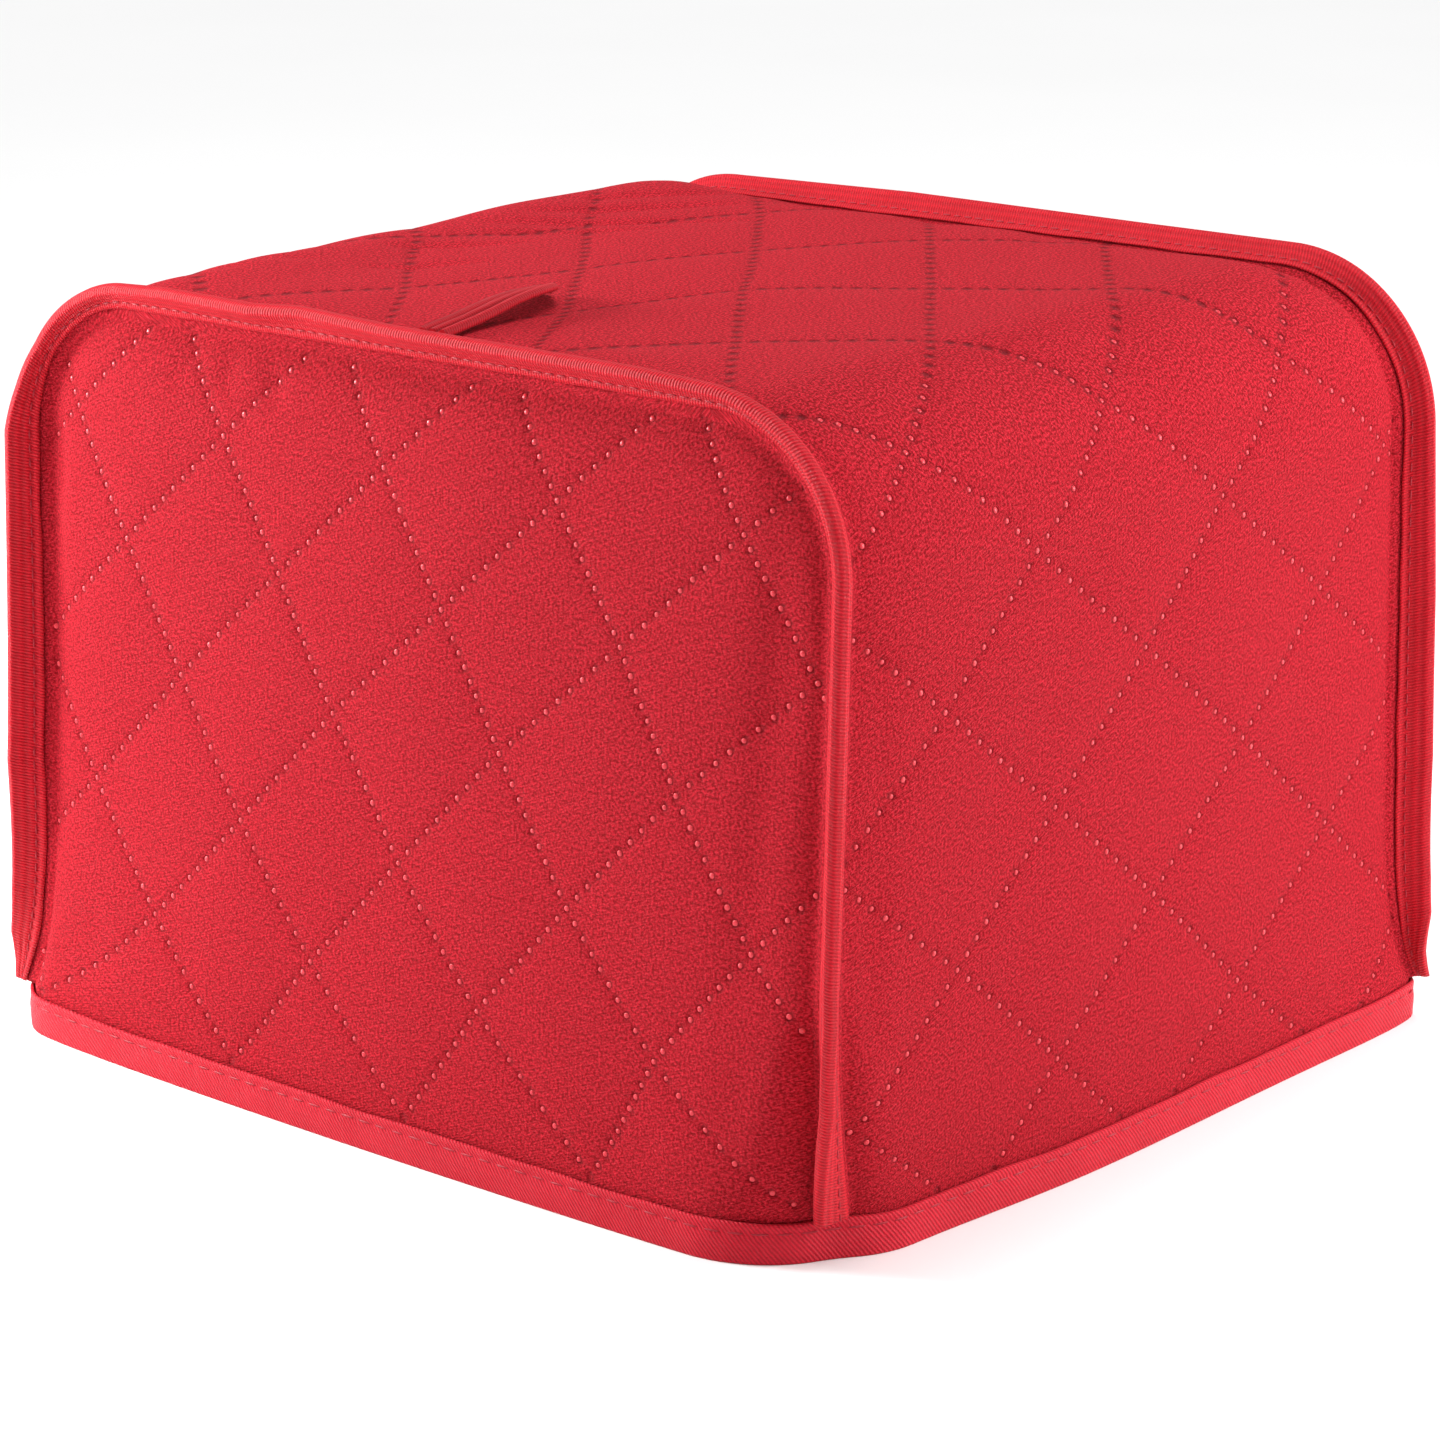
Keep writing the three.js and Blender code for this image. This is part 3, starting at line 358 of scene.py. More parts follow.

# %% [markdown]
# ## Creases laid in one by one
# The large folds come from the sizes above. The small ones are read off the photograph and laid
# in one by one: each is a soft trough, or a ridge where its depth is below nought, along a
# straight run in the cut, fading out at both ends.

# %% Creases
PANEL_CREASES = table("x0 z0 x1 z1 wide deep", [
    (131, 205, 118, 60, 7, 1.3), (126, 60, 112, 14, 8, 1.0), (-62, 214, -66, 199, 4, 0.9),
    (-50, 214, -44, 197, 4, 0.8), (-76, 213, -86, 200, 4, 0.6), (-139, 196, -136, 120, 4, 0.9),
    (-137, 186, -132, 160, 2.5, 0.7), (118, 205, 96, 212, 5, 0.8), (96, 26, 60, 14, 9, 0.8),
    (-30, 20, -74, 15, 10, 0.7), (-110, 40, -138, 18, 9, 1.2),
])
STRIP_CREASES = table("x0 z0 x1 z1 wide deep", [
    (52, -118, 110, -112, 7, 1.1), (110, -112, 170, -116, 6, 0.8), (18, 40, 28, -20, 9, 0.7),
    (20, 90, 40, 112, 9, 0.9), (250, -104, 300, -116, 6, 0.5), (440, -60, 476, -86, 3.5, 0.6),
    (452, -50, 486, -78, 3, 0.5), (446, -78, 470, -100, 3, 0.5), (300, 92, 318, 116, 7, 0.7),
    (360, 84, 352, 118, 7, 0.6), (412, 96, 404, 118, 7, 0.6), (208, 30, 226, -60, 10, 0.5),
    (446, 10, 392, 74, 3.6, 1.2), (438, 2, 398, 44, 3.4, 1.0), (444, -34, 416, 2, 3.6, 1.1),
    (448, 28, 412, 94, 3.4, 1.2), (428, -60, 404, -30, 3.6, 1.0), (452, 52, 426, 108, 3.6, 1.2),
])


def crease_lift(creases, across, up):
    lift = np.zeros(np.broadcast(across, up).shape)
    for x0, z0, x1, z1, wide, deep in zip(*creases.values()):
        run = np.array([x1 - x0, z1 - z0])
        length = np.hypot(*run)
        along = ((across - x0) * run[0] + (up - z0) * run[1]) / length**2
        away = ((across - x0) * run[1] - (up - z0) * run[0]) / length
        fade = np.clip(1 - (2 * along - 1) ** 2, 0, 1) ** 0.7
        lift -= deep * np.exp(-((away / wide) ** 2)) * fade
    return lift


def soft_waves(across, up, seed):
    """Slow unevenness that no cloth is without."""
    rng = np.random.default_rng(seed)
    total = np.zeros(np.broadcast(across, up).shape)
    for _ in range(14):
        turn, phase = rng.uniform(0, 2 * math.pi, 2)
        length = rng.uniform(38, 120)
        way = across * math.cos(turn) + up * math.sin(turn)
        total += np.sin(2 * math.pi * way / length + phase) * length / 120
    return 0.13 * total


print("creases:", len(PANEL_CREASES["x0"]), "on a panel and", len(STRIP_CREASES["x0"]), "on the strip")

# %% [markdown]
# ## One closed sheet of cloth
# A cut piece has an outer and an inner face and a turned-up edge. `Sheet` collects a fine grid
# of points for the outer face, a coarser one for the inner face, strips for the turned-up edges,
# and a rim that closes them, so the result has a thickness and no open edge.

# %% Sheet class


class Sheet:
    def __init__(self):
        self.points, self.faces, self.uv, self.quilt, self.count = [], [], [], [], 0

    def add(self, points, uv, quilt):
        """Keeps points and gives back their numbers, in the same arrangement."""
        shape = points.shape[:-1]
        self.points.append(points.reshape(-1, 3))
        self.uv.append(np.broadcast_to(uv, shape + (2,)).reshape(-1, 2))
        self.quilt.append(np.broadcast_to(quilt, shape + (3,)).reshape(-1, 3))
        numbers = self.count + np.arange(int(np.prod(shape))).reshape(shape)
        self.count += numbers.size
        return numbers

    def quads(self, numbers, turned=False):
        a, b, c, d = numbers[:-1, :-1], numbers[:-1, 1:], numbers[1:, 1:], numbers[1:, :-1]
        corners = [a, d, c, b] if turned else [a, b, c, d]
        self.faces += np.stack([corner.ravel() for corner in corners], axis=1).tolist()

    def rim(self, outer, inner):
        """Joins the outer face's edge to the inner one's, which has every other point."""
        for i in range(len(inner) - 1):
            o0, o1, o2, n0, n1 = outer[2 * i], outer[2 * i + 1], outer[2 * i + 2], inner[i], inner[i + 1]
            self.faces += [[o1, o0, n0], [o1, n0, n1], [o2, o1, n1]]

    def object(self, name):
        points = np.concatenate(self.points)
        mesh = bpy.data.meshes.new(name)
        mesh.from_pydata(settled(points).tolist(), [], [[int(i) for i in face] for face in self.faces])
        finish_mesh(mesh, np.concatenate(self.uv), np.concatenate(self.quilt))
        return new_piece(name, mesh)


def finish_mesh(mesh, uv, quilt=None):
    """Smooth faces, a UV map in metres of cloth, and the quilting's numbers as an attribute."""
    loops = np.zeros(len(mesh.loops), np.int32)
    mesh.loops.foreach_get("vertex_index", loops)
    layer = mesh.uv_layers.new(name="cloth")
    layer.data.foreach_set("uv", (uv[loops] / 1000).astype(np.float32).ravel())
    if quilt is not None:
        stored = mesh.attributes.new("quilt", "FLOAT_VECTOR", "POINT")
        stored.data.foreach_set("vector", quilt.astype(np.float32).ravel())
    mesh.polygons.foreach_set("use_smooth", np.ones(len(mesh.polygons), bool))
    turn_outwards(mesh)


def turn_outwards(mesh):
    mesh.calc_loop_triangles()
    corners = np.zeros(len(mesh.loop_triangles) * 3, np.int32)
    mesh.loop_triangles.foreach_get("vertices", corners)
    points = np.zeros(len(mesh.vertices) * 3, np.float32)
    mesh.vertices.foreach_get("co", points)
    a, b, c = points.reshape(-1, 3)[corners.reshape(-1, 3)].astype(float).transpose(1, 0, 2)
    if (a * np.cross(b, c)).sum() < 0:
        mesh.flip_normals()


def new_piece(name, mesh):
    piece = bpy.data.objects.new(name, mesh)
    bpy.context.scene.collection.objects.link(piece)
    return piece


print("sheet class ready")

# %% [markdown]
# ## The turned-up edge
# At its fold the cloth leaves the sheet in a small round bend and runs up inside the tape. The
# outer face gets nine points from the fold to the tip, and the inner face four. The UV map runs on
# outwards from the fold, so that the cloth's grain isn't drawn out into streaks there.

# %% Turned-up edge
BEND_STEPS = np.array([0.2, 0.42, 0.64, 0.84])
BEND_BULGE = 0.35
OUTER_STEPS = np.array([[height, OUTER_LAYER] for height in (2.7, 3.3, 5, 7.6, FIN["length"])])
INNER_STEPS = np.array([[height, HALF_GAP] for height in (0, 5, FIN["length"])])


def edge_outer(end, side, along, fold):
    """Points outwards from each fold point: side is 1 on a panel and -1 on the strip."""
    fin = fin_point(end, along, OUTER_STEPS[:, 0], side * OUTER_STEPS[:, 1])
    share = BEND_STEPS[None, :, None]
    bend = fold[:, None] * (1 - share) + fin[:, :1] * share
    _, out_way, panel_way = seam_frame(end, along)
    outwards = (out_way * 0.7 + side * panel_way * 0.7)[:, None]
    bend = bend + BEND_BULGE * np.sin(math.pi * share) * outwards
    return np.concatenate([bend, fin], axis=1)


def edge_inner(end, side, along):
    root, out_way, _ = seam_frame(end, along)
    seam = fin_point(end, along, np.array([0.0]), side * np.array([HALF_GAP]))[:, 0]
    fin = fin_point(end, along, INNER_STEPS[:, 0], side * INNER_STEPS[:, 1])
    return np.concatenate([(seam - CLOTH["thick"] * out_way)[:, None], fin], axis=1)


def inner_face(points, turned=False):
    """The same grid, one cloth's thickness further in."""
    rows, columns = np.gradient(points, axis=0), np.gradient(points, axis=1)
    normal = np.cross(rows, columns) if turned else np.cross(columns, rows)
    normal /= np.maximum(np.linalg.norm(normal, axis=-1, keepdims=True), 1e-9)
    return points - CLOTH["thick"] * normal


print("points of the outer face's edge:", len(BEND_STEPS) + len(OUTER_STEPS))

# %% [markdown]
# ## End panels
# Rows climb from the hem to the top. In the two round corners a row bends upwards towards its
# ends, so that the grid keeps to the round outline. The rows below the fin's foot reach the seam
# itself, because there the hem tape holds the edge.

# %% Panel grid
HEM_LEVELS = np.array([HEM["floor"] + CLOTH["gap"], 3.5, 6.0, 8.5, 10.6, 11.6])
HALF_LEG, HALF_TOP, HALF_ACROSS, HEM_RUN_IN = 83, 103.5, 123, 10


def evenly(half_length, step):
    """From 0 to 1 in an even number of steps, because the inner face takes every other point."""
    return np.linspace(0, 1, 2 * round(half_length / step) + 1)


def leg_levels(step):
    return HEM["straight"] + evenly(HALF_LEG, step) * (SHOULDER - HEM["straight"])


def above_the_hem(lift, z):
    """The lift, held down near the hem, where the tape keeps the cloth flat."""
    return lift * np.clip((z - HEM["straight"]) / HEM_RUN_IN, 0, 1)


def panel_grid(step):
    """Places across and up for each point of the grid, and the row where the fin starts."""
    low = len(HEM_LEVELS)
    legs = leg_levels(step)
    turns = evenly(31, step)[1:]
    columns = 2 * round((HALF_WIDTH - FIN["fold"]) / step) + 1
    u = np.linspace(-1, 1, columns)
    radius = BEND - FIN["fold"]
    middle = np.concatenate([HEM_LEVELS, legs, SHOULDER + radius * turns])
    edge = np.concatenate([HEM_LEVELS, legs, SHOULDER + radius * np.sin(turns * math.pi / 2)])
    half = np.concatenate([
        np.full(low, leg_half_width(HEM["straight"])), leg_half_width(legs) - FIN["fold"],
        FLAT_HALF + radius * np.cos(turns * math.pi / 2),
    ])
    along = np.concatenate([HEM_LEVELS, legs, SHOULDER + BEND_LENGTH * turns])
    up = middle[:, None] + (edge - middle)[:, None] * np.abs(u) ** 8
    return half[:, None] * u, up, along, low


def end_panel(name, end, step, seed):
    x, z, along, low = panel_grid(step)
    first, second = lattice(PANEL_ROWS, z, x)
    lift = diamond_lift(first, second, seed) + soft_waves(x, z, seed)
    if end < 0:
        lift = lift + crease_lift(PANEL_CREASES, x, z)
    lift = above_the_hem(lift, z)
    sheet = Sheet()
    uv, quilt = np.stack([x, z], -1), np.stack([first, second, np.ones_like(x)], -1)
    outer = sheet.add(panel_point(end, x, z, lift), uv, quilt)
    inside = inner_face(panel_point(end, x, z), turned=end > 0)
    inner = sheet.add(inside[::2, ::2], uv[::2, ::2], quilt[::2, ::2])
    sheet.quads(outer)
    sheet.quads(inner, turned=True)
    loop = [(r, -1) for r in range(low, len(x))] + [(-1, c) for c in range(x.shape[1] - 2, 0, -1)]
    loop += [(r, 0) for r in range(len(x) - 1, low - 1, -1)]
    over_top = SHOULDER + BEND_LENGTH + FLAT_HALF - x[-1, -2:0:-1]
    places = np.concatenate([along[low:], over_top, ARCH - along[low:][::-1]])
    sheet_edge(sheet, outer, inner, loop, places, end, 1)
    bottom = list(outer[0]), list(inner[0])
    right = list(outer[: low + 1, -1]), list(inner[: low // 2 + 1, -1])
    left = list(outer[: low + 1, 0][::-1]), list(inner[: low // 2 + 1, 0][::-1])
    for outside, inside in (bottom, right, left):
        sheet.rim(outside, inside)
    piece = sheet.object(name)
    print(f"{name}: {len(sheet.faces)} faces, {x.shape[0]} rows of {x.shape[1]} points")
    return piece


def sheet_edge(sheet, outer, inner, loop, places, end, side):
    """Adds the turned-up edge along a loop of grid points, and closes its tip and both feet."""
    numbers = np.array([outer[r, c] for r, c in loop])
    next_in = {0: 1, -1: -2, len(outer) - 1: -2}
    inwards = [(r if c in (0, -1) else next_in[r], next_in.get(c, c)) for r, c in loop]
    known = np.concatenate(sheet.points)
    uv, quilt = np.concatenate(sheet.uv), np.concatenate(sheet.quilt)
    chain = edge_outer(end, side, places, known[numbers])
    flat = quilt[numbers][:, None] * np.array([1, 1, 0])
    run = np.linalg.norm(np.diff(np.concatenate([known[numbers][:, None], chain], axis=1), axis=1), axis=2)
    away = uv[numbers] - uv[np.array([outer[r, c] for r, c in inwards])]
    away /= np.maximum(np.linalg.norm(away, axis=1, keepdims=True), 1e-6)
    added = sheet.add(chain, uv[numbers][:, None] + away[:, None] * np.cumsum(run, axis=1)[..., None], flat)
    strip = np.concatenate([numbers[:, None], added], axis=1)
    sheet.quads(strip)
    inside = np.array([inner[r // 2 if r >= 0 else r, c // 2 if c >= 0 else c] for r, c in loop[::2]])
    chain = edge_inner(end, side, places[::2])
    added = sheet.add(chain, uv[inside][:, None], flat[::2])
    inner_strip = np.concatenate([inside[:, None], added], axis=1)
    sheet.quads(inner_strip, turned=True)
    sheet.rim(list(strip[:, -1]), list(inner_strip[:, -1]))
    sheet.rim(list(strip[0]), list(inner_strip[0]))
    sheet.rim(list(strip[-1][::-1]), list(inner_strip[-1][::-1]))


near_cloth = end_panel("near_cloth", -1, 1.3, 3)
far_cloth = end_panel("far_cloth", 1, 2.0, 8)

# %% [markdown]
# ## The strip
# The strip is a plain long rectangle, so its grid has straight rows. Both long edges turn up.

# %% Strip


def strip_stations(step):
    bend = SHOULDER + BEND_LENGTH * evenly(31.4, step)[1:]
    flat = SHOULDER + BEND_LENGTH + 2 * FLAT_HALF * evenly(HALF_TOP, step)[1:-1]
    front = np.concatenate([HEM_LEVELS, leg_levels(step), bend])
    return np.concatenate([front, flat, ARCH - front[::-1]])


def strip_cloth(name, step, seed):
    along = strip_stations(step)
    low = len(HEM_LEVELS)
    z = arch_at(along)[1]
    in_hem = z < HEM["straight"] - 0.01
    inset = np.where(in_hem, 0, FIN["fold"])
    level = np.maximum(z, HEM["straight"])
    near, far = -half_depth(-1, level) + inset, half_depth(1, level) - inset
    y = near[:, None] + (far - near)[:, None] * evenly(HALF_ACROSS, step)
    up = np.broadcast_to(along[:, None], y.shape)
    first, second = lattice(STRIP_ROWS, up, y)
    lift = diamond_lift(first, second, seed) + soft_waves(y, up, seed) + crease_lift(STRIP_CREASES, up, y)
    lift = above_the_hem(lift, z[:, None])
    sheet = Sheet()
    uv, quilt = np.stack([y, up], -1), np.stack([first, second, np.ones_like(y)], -1)
    outer = sheet.add(strip_point(up, y, lift), uv, quilt)
    inner = sheet.add(inner_face(strip_point(up, y))[::2, ::2], uv[::2, ::2], quilt[::2, ::2])
    sheet.quads(outer)
    sheet.quads(inner, turned=True)
    rows = range(low, len(along) - low)
    middle = along[low:-low]
    sheet_edge(sheet, outer, inner, [(r, -1) for r in rows], middle, 1, -1)
    sheet_edge(sheet, outer, inner, [(r, 0) for r in reversed(rows)], middle[::-1], -1, -1)
    last = len(along) - 1
    sheet.rim(list(outer[0]), list(inner[0]))
    sheet.rim(list(outer[-1][::-1]), list(inner[-1][::-1]))
    for c in (-1, 0):
        turn = slice(None) if c else slice(None, None, -1)
        for part in (slice(0, low + 1), slice(last - low, last + 1)):
            inner_part = slice(part.start // 2, (part.stop - 1) // 2 + 1)
            sheet.rim(list(outer[part, c][turn]), list(inner[inner_part, c][turn]))
    piece = sheet.object(name)
    print(f"{name}: {len(sheet.faces)} faces, {y.shape[0]} rows of {y.shape[1]} points")
    return piece


strip = strip_cloth("strip_cloth", 1.9, 5)

# %% [markdown]
# ## Tapes
# A tape is one narrow profile carried along a path, and Blender calls such a surface a loft. The
# profile is folded over the edge: down one side, round the fold and up the other. `loft` also
# writes a UV map in millimetres along and round the tape, so that its ribs always run across it.

# %% Loft


def loft(name, rings, along, joined=False):
    """A closed surface through rings of points, with its ends filled unless it is joined."""
    count, size = rings.shape[:2]
    steps = np.linalg.norm(np.diff(rings, axis=1, append=rings[:, :1]), axis=2).mean(axis=0)
    around = np.concatenate([[0], np.cumsum(steps)])
    numbers = np.arange(count * size).reshape(count, size)
    numbers = np.concatenate([numbers, numbers[:, :1]], axis=1)
    if joined:
        numbers = np.concatenate([numbers, numbers[:1]])
    corners = [(0, 0), (0, 1), (1, 1), (1, 0)]
    high, wide = numbers.shape[0] - 1, numbers.shape[1] - 1
    faces = np.stack([numbers[i:high + i, j:wide + j].ravel() for i, j in corners], axis=1)
    place = np.stack(np.meshgrid(along, around, indexing="ij"), axis=-1)
    uv = np.stack([place[i:high + i, j:wide + j].reshape(-1, 2) for i, j in corners], axis=1).reshape(-1, 2)
    ends = [] if joined else [list(range(size))[::-1], list(range((count - 1) * size, count * size))]
    mesh = bpy.data.meshes.new(name)
    mesh.from_pydata(settled(rings.reshape(-1, 3)).tolist(), [], faces.tolist() + ends)
    uv = np.concatenate([uv, np.zeros((size * len(ends), 2))])
    mesh.uv_layers.new(name="cloth").data.foreach_set("uv", (uv / 1000).astype(np.float32).ravel())
    mesh.polygons.foreach_set("use_smooth", np.arange(len(mesh.polygons)) < len(faces))
    turn_outwards(mesh)
    return new_piece(name, mesh)


print("loft ready")

# %% [markdown]
# ## Binding of the fins
# The binding covers a fin from just above its seam, where its two edges stand a little open, to
# its rounded crest. The stitching draws it in along one line, so there it is a little thinner,
# and between stitches it puffs out.

# %% Fin bindings
STITCH_UP, GROOVE_UP, PUFF_UP, STITCH_PITCH = 4.7, 7.2, 8.8, 4.0
CREST_ROUND = 1.65


def hump(value, middle, width):
    """1 at the middle, falling softly away over the width."""
    return np.exp(-(((value - middle) / width) ** 2))


def tape_profile():
    """Heights and depths of the folded tape, from the inside of one edge round to the other."""
    turns = np.linspace(0, math.pi, 11)
    foot_of_crest = TAPE["crest"] - CREST_ROUND
    crest = [(foot_of_crest + CREST_ROUND * math.sin(t), TAPE_OUTSIDE * math.cos(t)) for t in turns]
    rising = [(TAPE_LOW + 0.1, TAPE_INSIDE + 0.5), (TAPE_LOW, TAPE_OUTSIDE - 0.2)]
    rising += [(TAPE_LOW + 0.2, TAPE_OUTSIDE)]
    rising += [(f, TAPE_OUTSIDE) for f in (3.0, 3.8, 4.3, 4.7, 5.1, 5.8, 6.6, 7.2, 7.8, 8.9)]
    falling = [(f, -q) for f, q in rising[::-1]]
    top, foot = FIN["length"] + TAPE["clear"], TAPE_LOW + 0.6
    inside = [(foot, TAPE_INSIDE), (6.5, TAPE_INSIDE), (top, TAPE_INSIDE)]
    back = [(f, -q) for f, q in inside]
    return np.array(inside[::-1] + rising + crest + falling + back)


def binding(name, end, step, seed):
    low, high = HEM["straight"], ARCH - HEM["straight"]
    along = np.linspace(low, high, round((high - low) / step))
    profile = tape_profile()
    f, q = profile[:, 0][None], profile[:, 1][None]
    outside = np.abs(q) > TAPE_INSIDE + 0.3
    outside = outside | (f > FIN["length"] + TAPE["clear"] + 0.05)
    rng = np.random.default_rng(seed)
    turn = 2 * math.pi * along
    waves = zip((61, 37, 23), rng.uniform(0, 6.3, 3))
    slow = sum(np.sin(turn / length + phase) for length, phase in waves)[:, None]
    stitch = np.cos(turn / STITCH_PITCH)[:, None]
    pull = hump(f, STITCH_UP, 0.75) * (0.32 + 0.13 * stitch) + hump(f, GROOVE_UP, 0.55) * 0.17
    puff = hump(f, PUFF_UP, 1.3) * (0.12 + 0.04 * slow)
    q = q + np.sign(q) * outside * (puff - pull)
    edge = outside * np.exp(-np.maximum(0, f - TAPE_LOW)) * 0.1 * slow
    piece = loft(name, fin_point(end, along, f + edge, q), along)
    print(f"{name}: {len(piece.data.polygons)} faces")
    return piece


near_tape = binding("near_tape", -1, 1.3, 1)
far_tape = binding("far_tape", 1, 1.8, 2)

# %% [markdown]
# ## Hem tape
# The lower edge runs once round the cover. Its path takes the foot of the near panel, the front
# of the strip, the far panel and the back, and the tape is folded under it. The cover rests on
# the tape's flat underside.

# %% Hem tape
HEM_OUT = TAPE["clear"] + HEM["wall"]
HEM_BACK = -CLOTH["thick"] - TAPE["clear"]
HEM_IN = HEM_BACK - HEM["wall"]
HEM_STITCH_UP = 8.3
HEM_STITCH_PITCH = 6.4


def hem_path(step):
    """Points round the foot of the cloth, and the level direction outwards at each."""
    half = leg_half_width(HEM["straight"])
    low, high = -half_depth(-1, HEM["straight"]), half_depth(1, HEM["straight"])
    xs = np.linspace(-half, half, round(2 * half / step))[1:-1]
    ys = np.linspace(low, high, round((high - low) / step))[1:-1]
    feet = [(end, along) for end in (-1, 1) for along in (1.0, ARCH - 1)]
    corner = {(end, along): seam_frame(end, np.array([along]))[0] for end, along in feet}
    path = np.concatenate([
        corner[-1, ARCH - 1], panel_point(-1, xs, 0.0), corner[-1, 1.0], strip_point(1.0, ys),
        corner[1, 1.0], panel_point(1, xs[::-1], 0.0), corner[1, ARCH - 1], strip_point(ARCH - 1, ys[::-1]),
    ])
    path[:, 2] = 0
    way = np.roll(path, -1, axis=0) - np.roll(path, 1, axis=0)
    way = (np.roll(way, 1, axis=0) + 2 * way + np.roll(way, -1, axis=0)) / 4
    out = np.stack([way[:, 1], -way[:, 0], way[:, 2]], axis=1)
    return path, out / np.linalg.norm(out, axis=1, keepdims=True)


def run_of(steps):
    """Lengths along a path, from its steps."""
    return np.concatenate([[0], np.cumsum(np.linalg.norm(steps, axis=1))])


def hem_profile():
    """Distance outwards and height of the folded hem tape."""
    outer = [(HEM_OUT - 0.45, 0), (HEM_OUT - 0.12, 0.14), (HEM_OUT, 0.5)]
    outer += [(HEM_OUT, z) for z in (1.6, 3.2, 5.0, 6.6, 7.6, 8.3, 9.0, 9.8)]
    outer += [(HEM_OUT - 0.06, 10.6), (HEM_OUT - 0.3, 10.95), (TAPE["clear"] + 0.1, 10.98)]
    inner = [(TAPE["clear"], z) for z in (10.8, 5, HEM["floor"])]
    inner += [(HEM_BACK, z) for z in (HEM["floor"], 5, HEM["inside"])]
    inner += [(HEM_IN, z) for z in (HEM["inside"] - 0.1, 8.3, 4, 0.5)]
    return np.array([(HEM_IN + 0.5, 0)] + outer + inner)


def hem_tape(name, step):
    path, out = hem_path(step)
    along = run_of(np.roll(path, -1, axis=0) - path)
    profile = hem_profile()
    away, z = profile[:, 0][None], profile[:, 1][None]
    turn = 2 * math.pi * along[:-1, None]
    slow = np.sin(turn / 83 + 1) + np.sin(turn / 47) + 0.7 * np.sin(turn / 29 + 2)
    pull = hump(z, HEM_STITCH_UP, 0.8) * (0.22 + 0.12 * np.cos(turn / HEM_STITCH_PITCH))
    puff = hump(z, 5.0, 2.2) * (0.14 + 0.05 * slow)
    away = away + (away > TAPE["clear"] + 0.5) * (puff - pull)
    z = z + (z > 8.8) * 0.13 * slow
    rings = path[:, None] + out[:, None] * away[..., None] + np.array([0, 0, 1.0]) * z[..., None]
    piece = loft(name, rings, along, joined=True)
    print(f"{name}: {along[-1]:.0f} mm round, {len(piece.data.polygons)} faces")
    return piece, path, out


hem, hem_line, hem_out = hem_tape("hem_tape", 2.0)

# %% [markdown]
# ## Handle strap
# The strap is tape folded to a flat band with two lengthwise ridges. Its far end is pinched into
# a narrow bar of stitches, and in between one edge has rolled up, so the top shows under it.

# %% Strap
STRAP_THICK = 2.4
STRAP_COURSE = table("x y width left right", [
    (-12.4, -59, 4, 0.3, 0.3), (-10.4, -63, 7, 0.4, 1.4), (-6.4, -69, 13.5, 0.7, 3.6),
    (-3.8, -78, 15, 0.9, 4.2), (-2.4, -88, 14, 0.8, 3.4), (-1.2, -96, 13, 0.5, 2.2),
    (-0.2, -104, 11.5, 0.3, 1.2), (0.8, -112, 10, 0.3, 0.4), (1.6, -117, 9, 0.3, 0.3),
])
STRAP_UNDER = [(-0.5, 0.12), (-0.46, 0), (-0.2, 0), (0.2, 0), (0.46, 0), (0.5, 0.12)]
STRAP_SIDES = np.linspace(0.5, -0.5, 25)
STRAP_FOLDS = [(side, 0.36 + 0.64 * abs(math.cos(3 * math.pi * side * 0.94))) for side in STRAP_SIDES]
STRAP_PROFILE = np.array(STRAP_UNDER + STRAP_FOLDS)


def top_height(x, y):
    along = SHOULDER + BEND_LENGTH + (FLAT_HALF - x)
    first, second = lattice(STRIP_ROWS, along, y)
    return strip_point(along, y, diamond_lift(first, second, 5) + soft_waves(y, along, 5))[..., 2]


def strap_rings(count):
    """Rings of the strap from its far foot to its near one, and their middle line."""
    stops = np.arange(len(STRAP_COURSE["x"]))
    fine = np.linspace(0, stops[-1], count)
    at = {name: np.interp(fine, stops, column) for name, column in STRAP_COURSE.items()}
    for name in at:
        smooth = np.convolve(np.pad(at[name], 3, mode="edge"), np.ones(7) / 7, mode="valid")
        at[name][1:-1] = smooth[1:-1]
    way = np.stack([np.gradient(at["x"]), np.gradient(at["y"])], axis=1)
    way /= np.linalg.norm(way, axis=1, keepdims=True)
    across = np.stack([-way[:, 1], way[:, 0], 0 * way[:, 0]], axis=1)
    spots = [(dx, dy) for dx in (-1, 0, 1) for dy in (-5, 0, 5)]
    base = np.max([top_height(at["x"] + dx * at["width"] / 2, at["y"] + dy) for dx, dy in spots], axis=0)
    side, up = STRAP_PROFILE[:, 0][None], STRAP_PROFILE[:, 1][None]
    clear = at["left"][:, None] + (at["right"] - at["left"])[:, None] * (side + 0.5)
    middle = np.stack([at["x"], at["y"], base], axis=1)
    lifted = np.array([0, 0, 1.0]) * (clear + up * STRAP_THICK)[..., None]
    return middle[:, None] + across[:, None] * (side * at["width"][:, None])[..., None] + lifted


strap_points = strap_rings(70)
strap_along = run_of(np.diff(strap_points.mean(axis=1), axis=0))
strap = loft("strap", strap_points, strap_along)
print(f"strap: {strap_along[-1]:.0f} mm long, {len(strap.data.polygons)} faces")

# %% [markdown]
# ## Writing materials as sums
# A material's pattern is arithmetic on coordinates. `Wire` stands for one number on its way
# through the nodes, and adding or multiplying wires adds the Math nodes. `Finish` holds one
# material, and its `node` method makes any other node from its settings and socket values.

# %% Shader helpers


